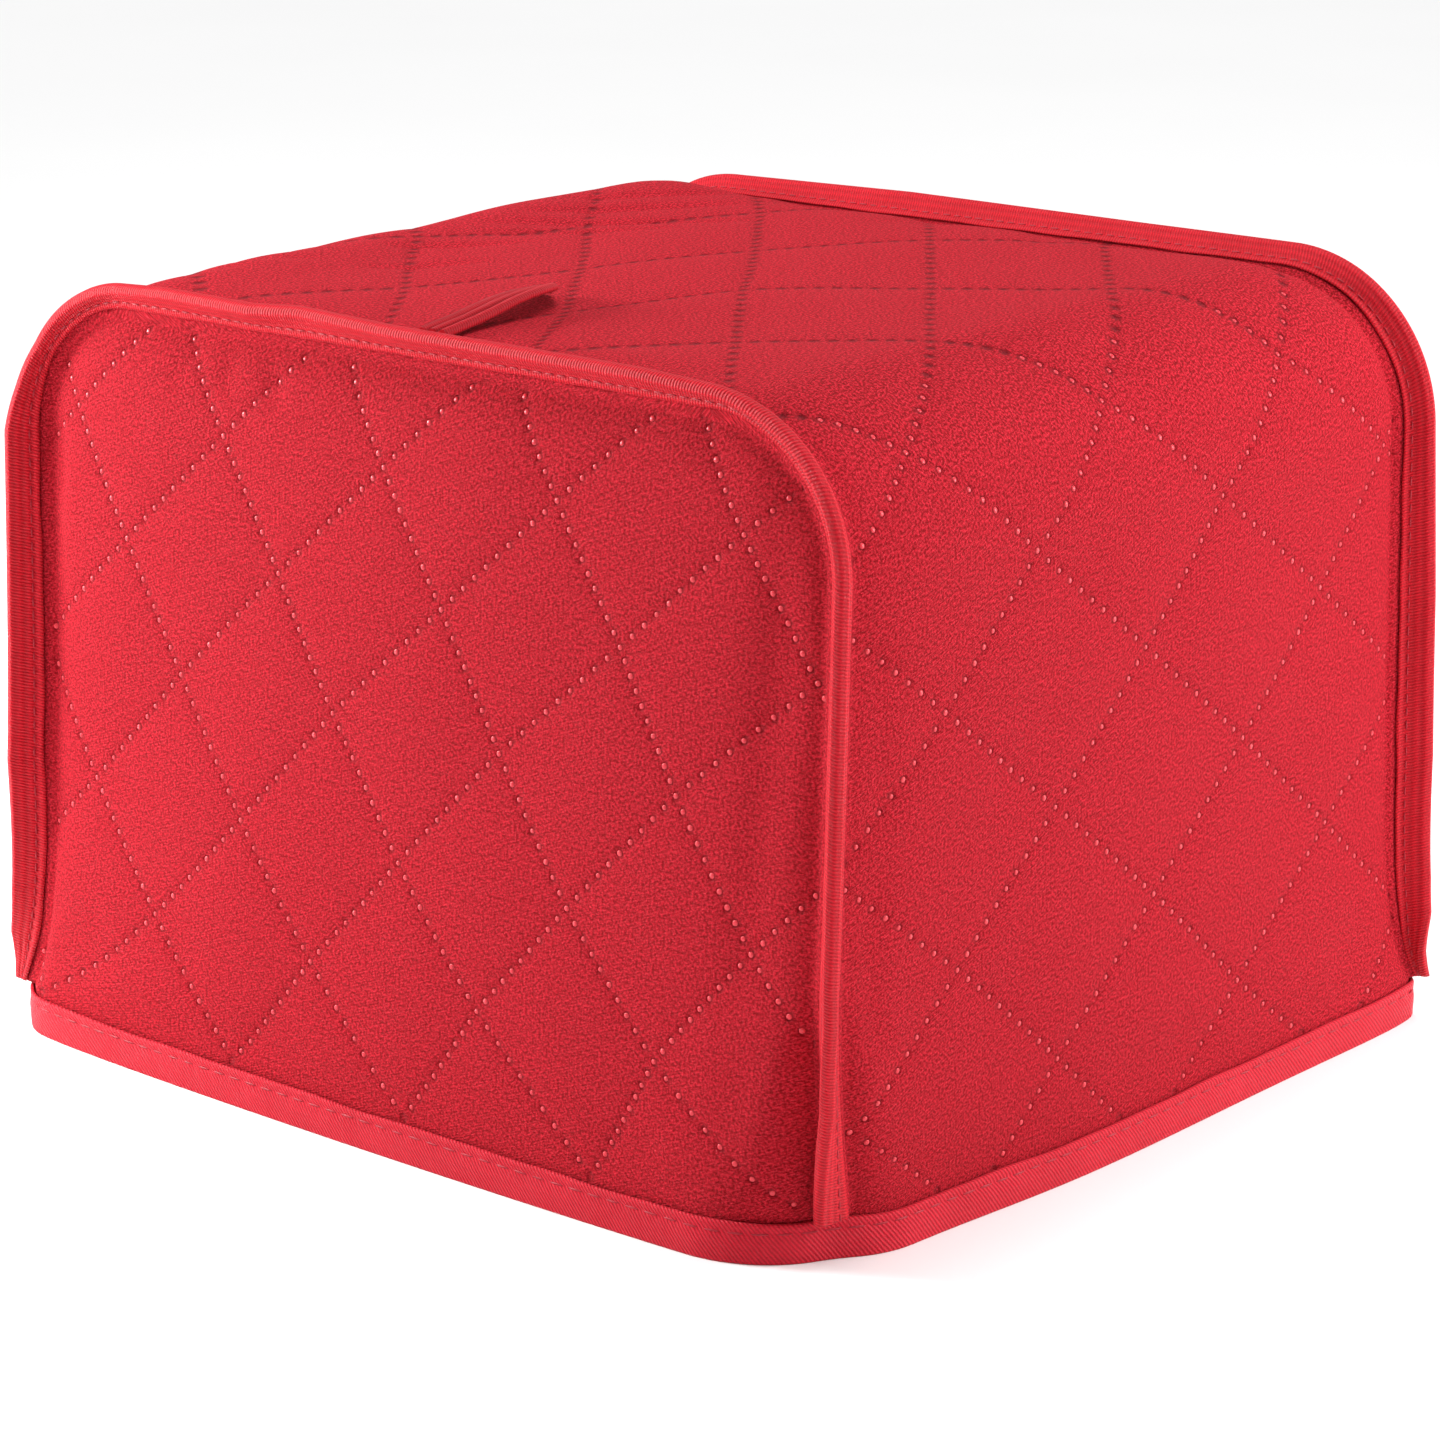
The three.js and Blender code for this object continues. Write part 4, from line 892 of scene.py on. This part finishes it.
class Wire:
    def __init__(self, finish, socket):
        self.finish, self.socket = finish, socket

    def math(self, operation, *others):
        values = dict(enumerate([self, *others]))
        return self.finish.wire("ShaderNodeMath", {"operation": operation}, values)

    def __add__(self, other):
        return self.math("ADD", other)

    def __sub__(self, other):
        return self.math("SUBTRACT", other)

    def __mul__(self, other):
        return self.math("MULTIPLY", other)

    def __truediv__(self, other):
        return self.math("DIVIDE", other)

    def __rsub__(self, other):
        return (self * -1) + other

    __radd__, __rmul__ = __add__, __mul__

    def to_whole(self):
        """Distance to the nearest whole number."""
        return self.math("PINGPONG", 0.5)

    def bump(self, width):
        """1 where the wire is nought, falling softly away over the width."""
        scaled = self / width
        return (scaled * scaled * -1).math("EXPONENT")


class Finish:
    def __init__(self, name):
        self.material = bpy.data.materials.new(name)
        self.material.use_nodes = True
        self.tree = self.material.node_tree
        self.tree.nodes.clear()

    def node(self, kind, settings=None, values=None):
        made = self.tree.nodes.new(kind)
        for name, value in (settings or {}).items():
            setattr(made, name, value)
        for name, value in (values or {}).items():
            socket = made.inputs[name]
            if isinstance(value, Wire):
                self.tree.links.new(value.socket, socket)
            elif isinstance(value, bpy.types.NodeSocket):
                self.tree.links.new(value, socket)
            else:
                socket.default_value = (*value, 1) if socket.type == "RGBA" and len(value) == 3 else value
        return made

    def wire(self, kind, settings=None, values=None, output=0):
        return Wire(self, self.node(kind, settings, values).outputs[output])

    def colour(self, share, first, second):
        values = {0: share, 6: first, 7: second}
        return self.node("ShaderNodeMix", {"data_type": "RGBA"}, values).outputs[2]

    def noise(self, place, scale, detail=2.0, rough=0.5):
        values = {"Vector": place, "Scale": scale, "Detail": detail, "Roughness": rough}
        return self.wire("ShaderNodeTexNoise", None, values)

    def cloth_place(self):
        """The UV map in millimetres: the vector, and its two numbers."""
        uv = self.node("ShaderNodeUVMap", {"uv_map": "cloth"})
        values = {0: uv.outputs[0], "Scale": 1000.0}
        place = self.node("ShaderNodeVectorMath", {"operation": "SCALE"}, values).outputs[0]
        parts = self.node("ShaderNodeSeparateXYZ", None, {0: place})
        return place, Wire(self, parts.outputs[0]), Wire(self, parts.outputs[1])

    def close(self, base, roughness, height, distance, constants):
        """Bump, the main shader and the output."""
        bump = self.node("ShaderNodeBump", None, {"Height": height, "Distance": distance, "Strength": 1.0})
        values = {"Base Color": base, "Roughness": roughness, "Normal": bump.outputs[0], **constants}
        shader = self.node("ShaderNodeBsdfPrincipled", None, values)
        self.node("ShaderNodeOutputMaterial", None, {"Surface": shader.outputs[0]})
        return self.material


print("shader helpers ready")

# %% [markdown]
# ## Brushed cloth
# The face cloth is a fine microfibre with a brushed nap. Close up it shows a fine slanting grain,
# and the nap catches light at a grazing angle, which the shader's sheen does. Each weld dot sits
# in a small pit, and the cloth is drawn a little between neighbouring dots. Painted shade darkens
# a rim round each dot's pit, the cloth along the quilting lines and, on the top, the dots themselves.
# The attribute `quilt` says where the dots are, so colour and relief agree with the mesh.

# %% Cloth material
PANEL_SPAN, STRIP_SPAN, TOP_TICK = 46.0, 54.0, 0.72
TOP_FROM, TOP_FULL = 0.195, 0.212


def cloth_finish(name, span, tick):
    """span is a diamond's side in millimetres; tick draws the dots of the top out across their line and also
    turns on painted shade in the top's dots.
    """
    cloth = Finish(name)
    place, u, v = cloth.cloth_place()
    quilt = cloth.node("ShaderNodeAttribute", {"attribute_name": "quilt"})
    parts = cloth.node("ShaderNodeSeparateXYZ", None, {0: quilt.outputs["Vector"]})
    first, second, on = (Wire(cloth, parts.outputs[i]) for i in range(3))
    line_a, line_b = first.to_whole() * span, second.to_whole() * span
    step = span / DOTS_ON_A_SIDE
    dot_a = (second * DOTS_ON_A_SIDE).to_whole() * step
    dot_b = (first * DOTS_ON_A_SIDE).to_whole() * step
    if tick:
        above = cloth.node("ShaderNodeTexCoord").outputs["Object"]
        level = cloth.wire("ShaderNodeSeparateXYZ", None, {0: above}, "Z")
        on_top = cloth.wire("ShaderNodeMapRange", None, {0: level, 1: TOP_FROM, 2: TOP_FULL, 3: 0.0, 4: 1.0})
        line_short, dot_short = 1 - on_top * (1 - tick), 1 - on_top * 0.3
    else:
        on_top, line_short, dot_short = 0.0, 1.0, 1.0
    across_a, along_b = line_a * line_short, dot_b * dot_short
    to_a = (across_a * across_a + dot_a * dot_a).math("SQRT")
    to_b = (line_b * line_b + along_b * along_b).math("SQRT")
    to_dot = to_a.math("MINIMUM", to_b)
    to_line = line_a.math("MINIMUM", line_b)

    twill = ((u * -0.34 + v * 0.94 + cloth.noise(place, 0.5) * 0.9) * (2 * math.pi / 0.78)).math("SINE")
    nap = cloth.noise(place, 3.2, 3.0, 0.65)
    curl = cloth.noise(place, 1.25, 2.0, 0.6)
    mottle = cloth.noise(place, 0.11, 3.0, 0.55)
    patches = cloth.noise(place, 0.022, 2.0, 0.5)
    pit = to_dot.bump(1.15) * on
    rim = (to_dot - 0.95).bump(0.36) * on
    drawn = to_line.bump(3.2) * on * cloth.noise(place, 0.45, 2.0, 0.5)
    height = twill * 0.09 + nap * 0.5 + curl * 0.85 + mottle * 0.12
    height = height + pit * -1.3 + drawn * -0.3 + patches * 0.3

    red = cloth.colour(mottle, (0.56, 0.005, 0.017), (0.66, 0.011, 0.030))
    red = cloth.colour((nap - 0.42) * 2.2 + twill * 0.16, red, (0.88, 0.048, 0.078))
    red = cloth.colour((curl - 0.385 - on_top * 0.05) * (4.2 + on_top * 2.6), (0.27, 0.0013, 0.005), red)
    # Painted shade: the cloth is darkened along the quilting lines, in their grooves.
    red = cloth.colour(to_line.bump(1.6) * on * 0.12, red, (0.30, 0.002, 0.007))
    # Painted shade: the rim round each weld dot's pit is darkened.
    red = cloth.colour(rim * 0.55, red, (0.16, 0.001, 0.004))
    # Painted shade: on the top each dot is darkened as the shade in its pit.
    if tick:
        red = cloth.colour(to_dot.bump(0.8) * on_top, red, (0.15, 0.0015, 0.006))
    rough = nap * 0.16 + 0.72 + pit * -0.1
    sheen = {"Sheen Weight": 0.07, "Sheen Roughness": 0.4, "Sheen Tint": (1.0, 0.35, 0.4)}
    constants = {**sheen, "Specular IOR Level": 0.1}
    return cloth.close(red, rough, height, 0.001, constants)


panel_finish = cloth_finish("brushed_cloth_panels", PANEL_SPAN, 0.0)
strip_finish = cloth_finish("brushed_cloth_strip", STRIP_SPAN, TOP_TICK)
print("cloth materials made")

# %% [markdown]
# ## Woven tape, thread and weld dots
# Binding tape is woven with fine ribs across it and has more gloss than the cloth. Thread is a
# little glossier still. A weld dot is cloth melted smooth, so it is paler and shines.

# %% Tape, thread and weld materials


def tape_finish(name, pale, deep, rib, slant, lines):
    """rib is the ribs' pitch in millimetres, slant their lean, lines the lengthwise lines' darkness."""
    tape = Finish(name)
    place, u, v = tape.cloth_place()
    ribs = ((u + v * slant + tape.noise(place, 0.5) * 0.35) * (2 * math.pi / rib)).math("SINE")
    yarns = ((v + tape.noise(place, 0.4) * 0.3) * (2 * math.pi / 2.3)).math("SINE")
    slow = tape.noise(place, 0.06, 2.0, 0.5)
    fuzz = tape.noise(place, 1.9, 3.0, 0.6)
    height = ribs * 0.1 + yarns * lines * 0.35 + fuzz * 0.35 + slow * 0.5
    red = tape.colour(slow * 0.6 + fuzz * 0.5, deep, pale)
    red = tape.colour((ribs * -0.5 + 0.5) * 0.5, red, tuple(0.4 * c for c in deep))
    red = tape.colour((yarns * -0.5 + 0.5) * lines, red, tuple(0.4 * c for c in deep))
    rough = fuzz * 0.2 + 0.38
    sheen = {"Sheen Weight": 0.1, "Sheen Roughness": 0.35, "Sheen Tint": (1.0, 0.4, 0.44)}
    constants = {**sheen, "Specular IOR Level": 0.16}
    return tape.close(red, rough, height, 0.001, constants)


def plain_finish(name, dark, light, rough, scale, specular):
    finish = Finish(name)
    place = finish.node("ShaderNodeTexCoord").outputs["Object"]
    fleck = finish.noise(place, scale, 2.0, 0.6)
    colour = finish.colour(fleck, dark, light)
    constants = {"Specular IOR Level": specular}
    return finish.close(colour, fleck * 0.2 + rough, fleck * 0.1, 0.0003, constants)


fin_tape_finish = tape_finish("woven_tape_fins", (0.84, 0.012, 0.032), (0.54, 0.003, 0.011), 0.9, 0.25, 0.3)
hem_tape_finish = tape_finish("woven_tape_hem", (0.84, 0.021, 0.048), (0.52, 0.006, 0.018), 1.25, 0.8, 0.06)
strap_finish = tape_finish("woven_tape_strap", (0.74, 0.010, 0.027), (0.40, 0.002, 0.009), 0.9, 0.25, 0.45)
thread_finish = plain_finish("thread", (0.30, 0.004, 0.012), (0.44, 0.010, 0.026), 0.42, 900.0, 0.4)
weld_finish = plain_finish("weld", (0.60, 0.020, 0.034), (0.78, 0.050, 0.070), 0.22, 500.0, 0.35)
print("materials:", len(bpy.data.materials))

# %% [markdown]
# ## Weld dots and stitches by Geometry Nodes
# Both are one small shape repeated at many places, which is what Geometry Nodes are for. Python
# gives the places: a mesh of bare points for the dots, a line for each row of stitches, and at
# each the direction outwards. The tree sets an instance there, turns it, and makes it real.

# %% Node trees


class Tree:
    """A geometry node tree with named inputs."""

    def __init__(self, name, inputs):
        self.group = bpy.data.node_groups.new(name, "GeometryNodeTree")
        face = self.group.interface
        face.new_socket("Geometry", in_out="INPUT", socket_type="NodeSocketGeometry")
        self.identifiers = {}
        for label, (kind, value) in inputs.items():
            made = face.new_socket(label, in_out="INPUT", socket_type=kind)
            if value is not None:
                made.default_value = value
            self.identifiers[label] = made.identifier
        face.new_socket("Geometry", in_out="OUTPUT", socket_type="NodeSocketGeometry")
        self.start = self.group.nodes.new("NodeGroupInput").outputs

    def node(self, kind, settings=None, values=None):
        made = self.group.nodes.new(kind)
        for name, value in (settings or {}).items():
            setattr(made, name, value)
        for name, value in (values or {}).items():
            if isinstance(value, bpy.types.NodeSocket):
                self.group.links.new(value, made.inputs[name])
            else:
                made.inputs[name].default_value = value
        return made.outputs

    def turned(self, along):
        """A rotation whose Z is the stored direction outwards, and whose X follows along, if given."""
        out = self.node("GeometryNodeInputNamedAttribute", {"data_type": "FLOAT_VECTOR"}, {"Name": "out"})[0]
        if along is None:
            return self.node("FunctionNodeAlignRotationToVector", {"axis": "Z"}, {"Vector": out})[0]
        first = self.node("FunctionNodeAlignRotationToVector", {"axis": "X"}, {"Vector": along})[0]
        settings = {"axis": "Z", "pivot_axis": "X"}
        values = {"Rotation": first, "Vector": out}
        return self.node("FunctionNodeAlignRotationToVector", settings, values)[0]

    def uneven(self):
        """A random size about 1, as far from it as the input says."""
        spread = {0: 1.0, 1: self.start["Unevenness"]}
        least = self.node("ShaderNodeMath", {"operation": "SUBTRACT"}, spread)[0]
        most = self.node("ShaderNodeMath", {"operation": "ADD"}, spread)[0]
        values = {2: least, 3: most, "Seed": self.start["Seed"]}
        return self.node("FunctionNodeRandomValue", {"data_type": "FLOAT"}, values)[1]

    def close(self, instances):
        real = self.node("GeometryNodeRealizeInstances", None, {0: instances})[0]
        smooth = self.node("GeometryNodeSetShadeSmooth", None, {0: real})[0]
        values = {0: smooth, "Material": self.start["Material"]}
        coated = self.node("GeometryNodeSetMaterial", None, values)[0]
        end = self.group.nodes.new("NodeGroupOutput")
        self.group.links.new(coated, end.inputs[0])


def grown(name, carrier, tree, settings):
    """The carrier's mesh grown by the tree, as a plain mesh piece."""
    source = new_piece(name + "_source", carrier)
    modifier = source.modifiers.new("grow", "NODES")
    modifier.node_group = tree.group
    for label, value in settings.items():
        modifier[tree.identifiers[label]] = value
    bpy.context.view_layer.update()
    shown = source.evaluated_get(bpy.context.evaluated_depsgraph_get())
    mesh = bpy.data.meshes.new_from_object(shown)
    mesh.name = name
    bpy.data.objects.remove(source)
    piece = new_piece(name, mesh)
    print(f"{name}: {len(mesh.polygons)} faces")
    return piece


def carrier(name, points, out, lines=()):
    """A mesh of bare points or lines that carries the direction outwards."""
    mesh = bpy.data.meshes.new(name)
    mesh.from_pydata(points.tolist(), list(lines), [])
    stored = mesh.attributes.new("out", "FLOAT_VECTOR", "POINT")
    stored.data.foreach_set("vector", out.astype(np.float32).ravel())
    return mesh


dots = Tree("weld dots", {
    "Radius": ("NodeSocketFloat", 0.00078), "Flatness": ("NodeSocketFloat", 0.4),
    "Unevenness": ("NodeSocketFloat", 0.12), "Seed": ("NodeSocketInt", 4),
    "Material": ("NodeSocketMaterial", None),
})
ball_values = {"Segments": 9, "Rings": 5, "Radius": dots.start["Radius"]}
ball = dots.node("GeometryNodeMeshUVSphere", None, ball_values)[0]
squash = dots.node("ShaderNodeCombineXYZ", None, {0: 1.0, 1: 1.0, 2: dots.start["Flatness"]})[0]
dome = dots.node("GeometryNodeTransform", None, {"Geometry": ball, "Scale": squash})[0]
placed = dots.node("GeometryNodeInstanceOnPoints", None, {
    "Points": dots.start["Geometry"], "Instance": dome, "Rotation": dots.turned(None), "Scale": dots.uneven(),
})[0]
dots.close(placed)

stitches = Tree("stitches", {
    "Pitch": ("NodeSocketFloat", 0.004), "Length": ("NodeSocketFloat", 0.0028),
    "Thread": ("NodeSocketFloat", 0.0003), "Unevenness": ("NodeSocketFloat", 0.08),
    "Seed": ("NodeSocketInt", 1), "Material": ("NodeSocketMaterial", None),
})
bead = stitches.node("GeometryNodeMeshUVSphere", None, {"Segments": 6, "Rings": 5, "Radius": 0.5})[0]
upright = stitches.node("GeometryNodeTransform", None, {"Geometry": bead, "Rotation": (0, math.pi / 2, 0)})[0]
doubled = {0: stitches.start["Thread"], 1: 2.0}
thick = stitches.node("ShaderNodeMath", {"operation": "MULTIPLY"}, doubled)[0]
shape = stitches.node("ShaderNodeCombineXYZ", None, {0: stitches.start["Length"], 1: thick, 2: thick})[0]
one = stitches.node("GeometryNodeTransform", None, {"Geometry": upright, "Scale": shape})[0]
curve = stitches.node("GeometryNodeMeshToCurve", None, {0: stitches.start["Geometry"]})[0]
spacing = {"Curve": curve, "Length": stitches.start["Pitch"]}
spaced = stitches.node("GeometryNodeResampleCurve", {"mode": "LENGTH"}, spacing)[0]
tangent = stitches.node("GeometryNodeInputTangent")[0]
sewn = stitches.node("GeometryNodeInstanceOnPoints", None, {
    "Points": spaced, "Instance": one, "Rotation": stitches.turned(tangent), "Scale": stitches.uneven(),
})[0]
stitches.close(sewn)
print("node trees:", len(bpy.data.node_groups))

# %% [markdown]
# ## Setting the weld dots
# The dots' places come from the quilting's numbers. Each is then put on the nearest point of the
# fine cloth itself, so that none floats or sinks.

# %% Weld dots
SEAM_MARGIN, HEM_MARGIN, TOP_MARGIN = 3.8, 1.5, 4


def dot_places(rows, reach):
    """Places in the cut of every dot within the given number of lines."""
    whole = np.arange(-reach, reach + 1)
    tenths = np.arange(-reach * DOTS_ON_A_SIDE, reach * DOTS_ON_A_SIDE + 1)
    grid = np.array([(a, b / DOTS_ON_A_SIDE) for a in whole for b in tenths])
    both = np.concatenate([grid, grid[:, ::-1]])
    both = np.unique(np.round(both, 3), axis=0)
    row = both.sum(axis=1)
    both = both[(row <= rows["row"].max()) & (row >= rows["row"].min())]
    return from_lattice(rows, both[:, 0], both[:, 1])


def on_cloth(piece, points):
    """The nearest points of a piece and the directions outwards there."""
    mesh = piece.data
    tree = BVHTree.FromPolygons([v.co for v in mesh.vertices], [tuple(p.vertices) for p in mesh.polygons])
    hits = [tree.find_nearest(Vector(point)) for point in points]
    return np.array([hit[0] for hit in hits]), np.array([hit[1] for hit in hits])


def set_dots(name, piece, points, seed):
    spots, out = on_cloth(piece, points)
    return grown(name, carrier(name + "_points", spots, out), dots, {"Seed": seed, "Material": weld_finish})


def panel_dots(end):
    up, across = dot_places(PANEL_ROWS, 9)
    corner = (np.abs(across) > FLAT_HALF) & (up > SHOULDER)
    from_bend = BEND - np.hypot(np.abs(across) - FLAT_HALF, up - SHOULDER)
    from_seam = np.where(corner, from_bend, np.minimum(HALF_WIDTH - np.abs(across), TOP - up))
    keep = (from_seam > SEAM_MARGIN) & (up > HEM["straight"] + HEM_MARGIN)
    return settled(panel_point(end, across[keep], up[keep]))


up, across = dot_places(STRIP_ROWS, 22)
hem_edge = HEM["straight"] + HEM_MARGIN
keep = (up > hem_edge) & (up < ARCH - hem_edge)
level = arch_at(up)[1]
keep &= (across > -half_depth(-1, level) + SEAM_MARGIN) & (across < half_depth(1, level) - SEAM_MARGIN)
# On the top the dots are flat, so the material alone shows them there, as pits darkened with painted shade.
keep &= level < TOP - TOP_MARGIN
strip_welds = set_dots("strip_welds", strip, settled(strip_point(up[keep], across[keep])), 4)
near_welds = set_dots("near_welds", near_cloth, panel_dots(-1), 5)
far_welds = set_dots("far_welds", far_cloth, panel_dots(1), 6)

# %% [markdown]
# ## Sewing
# A row of stitches runs along both sides of each fin's tape, round both sides of the hem tape,
# and along the strap. Each row is a line on the finished tape with its direction outwards.

# %% Sewing


def row_of(points, out, closed=False):
    count = len(points)
    lines = [(i, (i + 1) % count) for i in range(count if closed else count - 1)]
    return points, out, lines


def join_rows(name, rows):
    points = np.concatenate([r[0] for r in rows])
    out = np.concatenate([r[1] for r in rows])
    lines, start = [], 0
    for row_points, _, row_lines in rows:
        lines += [(start + a, start + b) for a, b in row_lines]
        start += len(row_points)
    return carrier(name, points, out, lines)


def fin_row(end, side):
    along = np.linspace(HEM["straight"] + 1, ARCH - HEM["straight"] - 1, 500)
    depth = side * (TAPE_OUTSIDE - 0.2)
    here = fin_point(end, along, np.array([STITCH_UP]), np.array([depth]))[:, 0]
    outer = fin_point(end, along, np.array([STITCH_UP]), np.array([depth + side]))[:, 0]
    return row_of(settled(here), outer - here)


def hem_row(away, height, side):
    path = hem_line + hem_out * away + np.array([0, 0, height])
    return row_of(settled(path), hem_out * side, closed=True)


def strap_row(column, shift):
    points = strap_points[:, column] + np.array([0, 0, shift])
    return row_of(settled(points)[2:-2], np.tile([0, 0, 1.0], (len(points) - 4, 1)))


fin_rows = join_rows("fin_rows", [fin_row(end, side) for end in (-1, 1) for side in (-1, 1)])
hem_rows = [hem_row(HEM_OUT - 0.22, HEM_STITCH_UP, 1), hem_row(HEM_IN - 0.02, HEM_STITCH_UP, -1)]
hem_rows = join_rows("hem_rows", hem_rows)
third = len(STRAP_SIDES) // 3
strap_rows = [strap_row(len(STRAP_UNDER) + valley, 0.05) for valley in (2 * third, third)]
strap_rows = join_rows("strap_rows", strap_rows)
fin_stitches = grown("fin_stitches", fin_rows, stitches, {
    "Pitch": STITCH_PITCH / 1000, "Length": 0.0029, "Thread": 0.0003, "Material": thread_finish})
hem_stitches = grown("hem_stitches", hem_rows, stitches, {
    "Pitch": HEM_STITCH_PITCH / 1000, "Length": 0.0046, "Thread": 0.00034, "Material": thread_finish})
strap_stitches = grown("strap_stitches", strap_rows, stitches, {
    "Pitch": 0.0032, "Length": 0.0023, "Thread": 0.00026, "Material": thread_finish})

# %% [markdown]
# ## Standing for the solids
# Each fine piece takes the place of its solid and rides on the cover's one body. The area of
# each piece's cloth, half its closed surface, is printed.

# %% Frame calls
DRESSED = [
    (near_cloth, "near_panel", panel_finish, "quilted_cloth"),
    (far_cloth, "far_panel", panel_finish, "quilted_cloth"),
    (strip, "body_strip", strip_finish, "quilted_cloth"),
    (near_tape, "near_binding", fin_tape_finish, "woven_tape"),
    (far_tape, "far_binding", fin_tape_finish, "woven_tape"),
    (hem, "hem_binding", hem_tape_finish, "woven_tape"),
    (strap, "handle_strap", strap_finish, "woven_tape"),
]
for piece, node, finish, slot in DRESSED:
    piece.data.materials.append(finish)
    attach(piece, "root")
    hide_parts(node)
for piece in (strip_welds, near_welds, far_welds):
    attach(piece, "root")
for piece in (fin_stitches, hem_stitches, strap_stitches):
    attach(piece, "root")


def cloth_area(piece):
    """Half of a closed sheet's surface, in square metres."""
    return sum(p.area for p in piece.data.polygons) / 2


for piece, *_ in DRESSED:
    print(f"{piece.name}: {cloth_area(piece):.4f} square metres of cloth")

# %% [markdown]
# ## Floor and light
# The photograph has a plain white ground and soft light, brightest on the near end's left: a lamp
# close by on the left, larger ones on the right and above, and a sun so broad that its shadows
# are soft. The floor and the sky are pale.

# %% Floor and light
floor_mesh = bpy.data.meshes.new("floor")
floor_mesh.from_pydata([(-30, -30, 0), (30, -30, 0), (30, 30, 0), (-30, 30, 0)], [], [(0, 1, 2, 3)])
floor = new_piece("floor", floor_mesh)
floor_finish = Finish("pale_floor")
floor_place = floor_finish.node("ShaderNodeTexCoord").outputs["Object"]
floor_tone = floor_finish.colour(floor_finish.noise(floor_place, 3.0), (0.9, 0.9, 0.9), (0.93, 0.93, 0.93))
floor_grain = floor_finish.noise(floor_place, 40.0)
floor.data.materials.append(floor_finish.close(floor_tone, 0.8, floor_grain, 0.0001, {}))

world = bpy.data.worlds.new("studio")
world.use_nodes = True
sky = world.node_tree.nodes["Background"].inputs
sky["Color"].default_value, sky["Strength"].default_value = (1.0, 1.0, 1.0, 1), 0.28
bpy.context.scene.world = world
bpy.context.scene.view_settings.view_transform = "Standard"

# name, place, side, watts
LAMPS = [
    ("left_lamp", (-0.62, -0.44, 0.36), 0.26, 9.5),
    ("right_lamp", (0.85, 0.55, 0.42), 0.5, 11.0),
    ("top_lamp", (-0.3, 0.5, 1.2), 0.7, 3),
]
AIM = Vector((0, 0, 0.1))
for name, place, side, watts in LAMPS:
    data = bpy.data.lights.new(name, "AREA")
    data.shape, data.size, data.size_y, data.energy = "RECTANGLE", side, side, watts
    lamp = bpy.data.objects.new(name, data)
    lamp.location = place
    lamp.rotation_euler = (AIM - Vector(place)).to_track_quat("-Z", "Y").to_euler()
    bpy.context.scene.collection.objects.link(lamp)
overhead = bpy.data.lights.new("overhead", "SUN")
overhead.energy, overhead.angle = 2.45, math.radians(50)
bpy.context.scene.collection.objects.link(bpy.data.objects.new("overhead", overhead))
print("lamps:", len(LAMPS) + 1)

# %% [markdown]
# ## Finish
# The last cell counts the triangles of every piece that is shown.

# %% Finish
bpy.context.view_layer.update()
shown = [p for p in bpy.context.scene.objects if p.type == "MESH" and not p.hide_render]
triangles = {p.name: sum(len(f.vertices) - 2 for f in p.data.polygons) for p in shown}
print("triangles:", triangles, "in all", sum(triangles.values()))
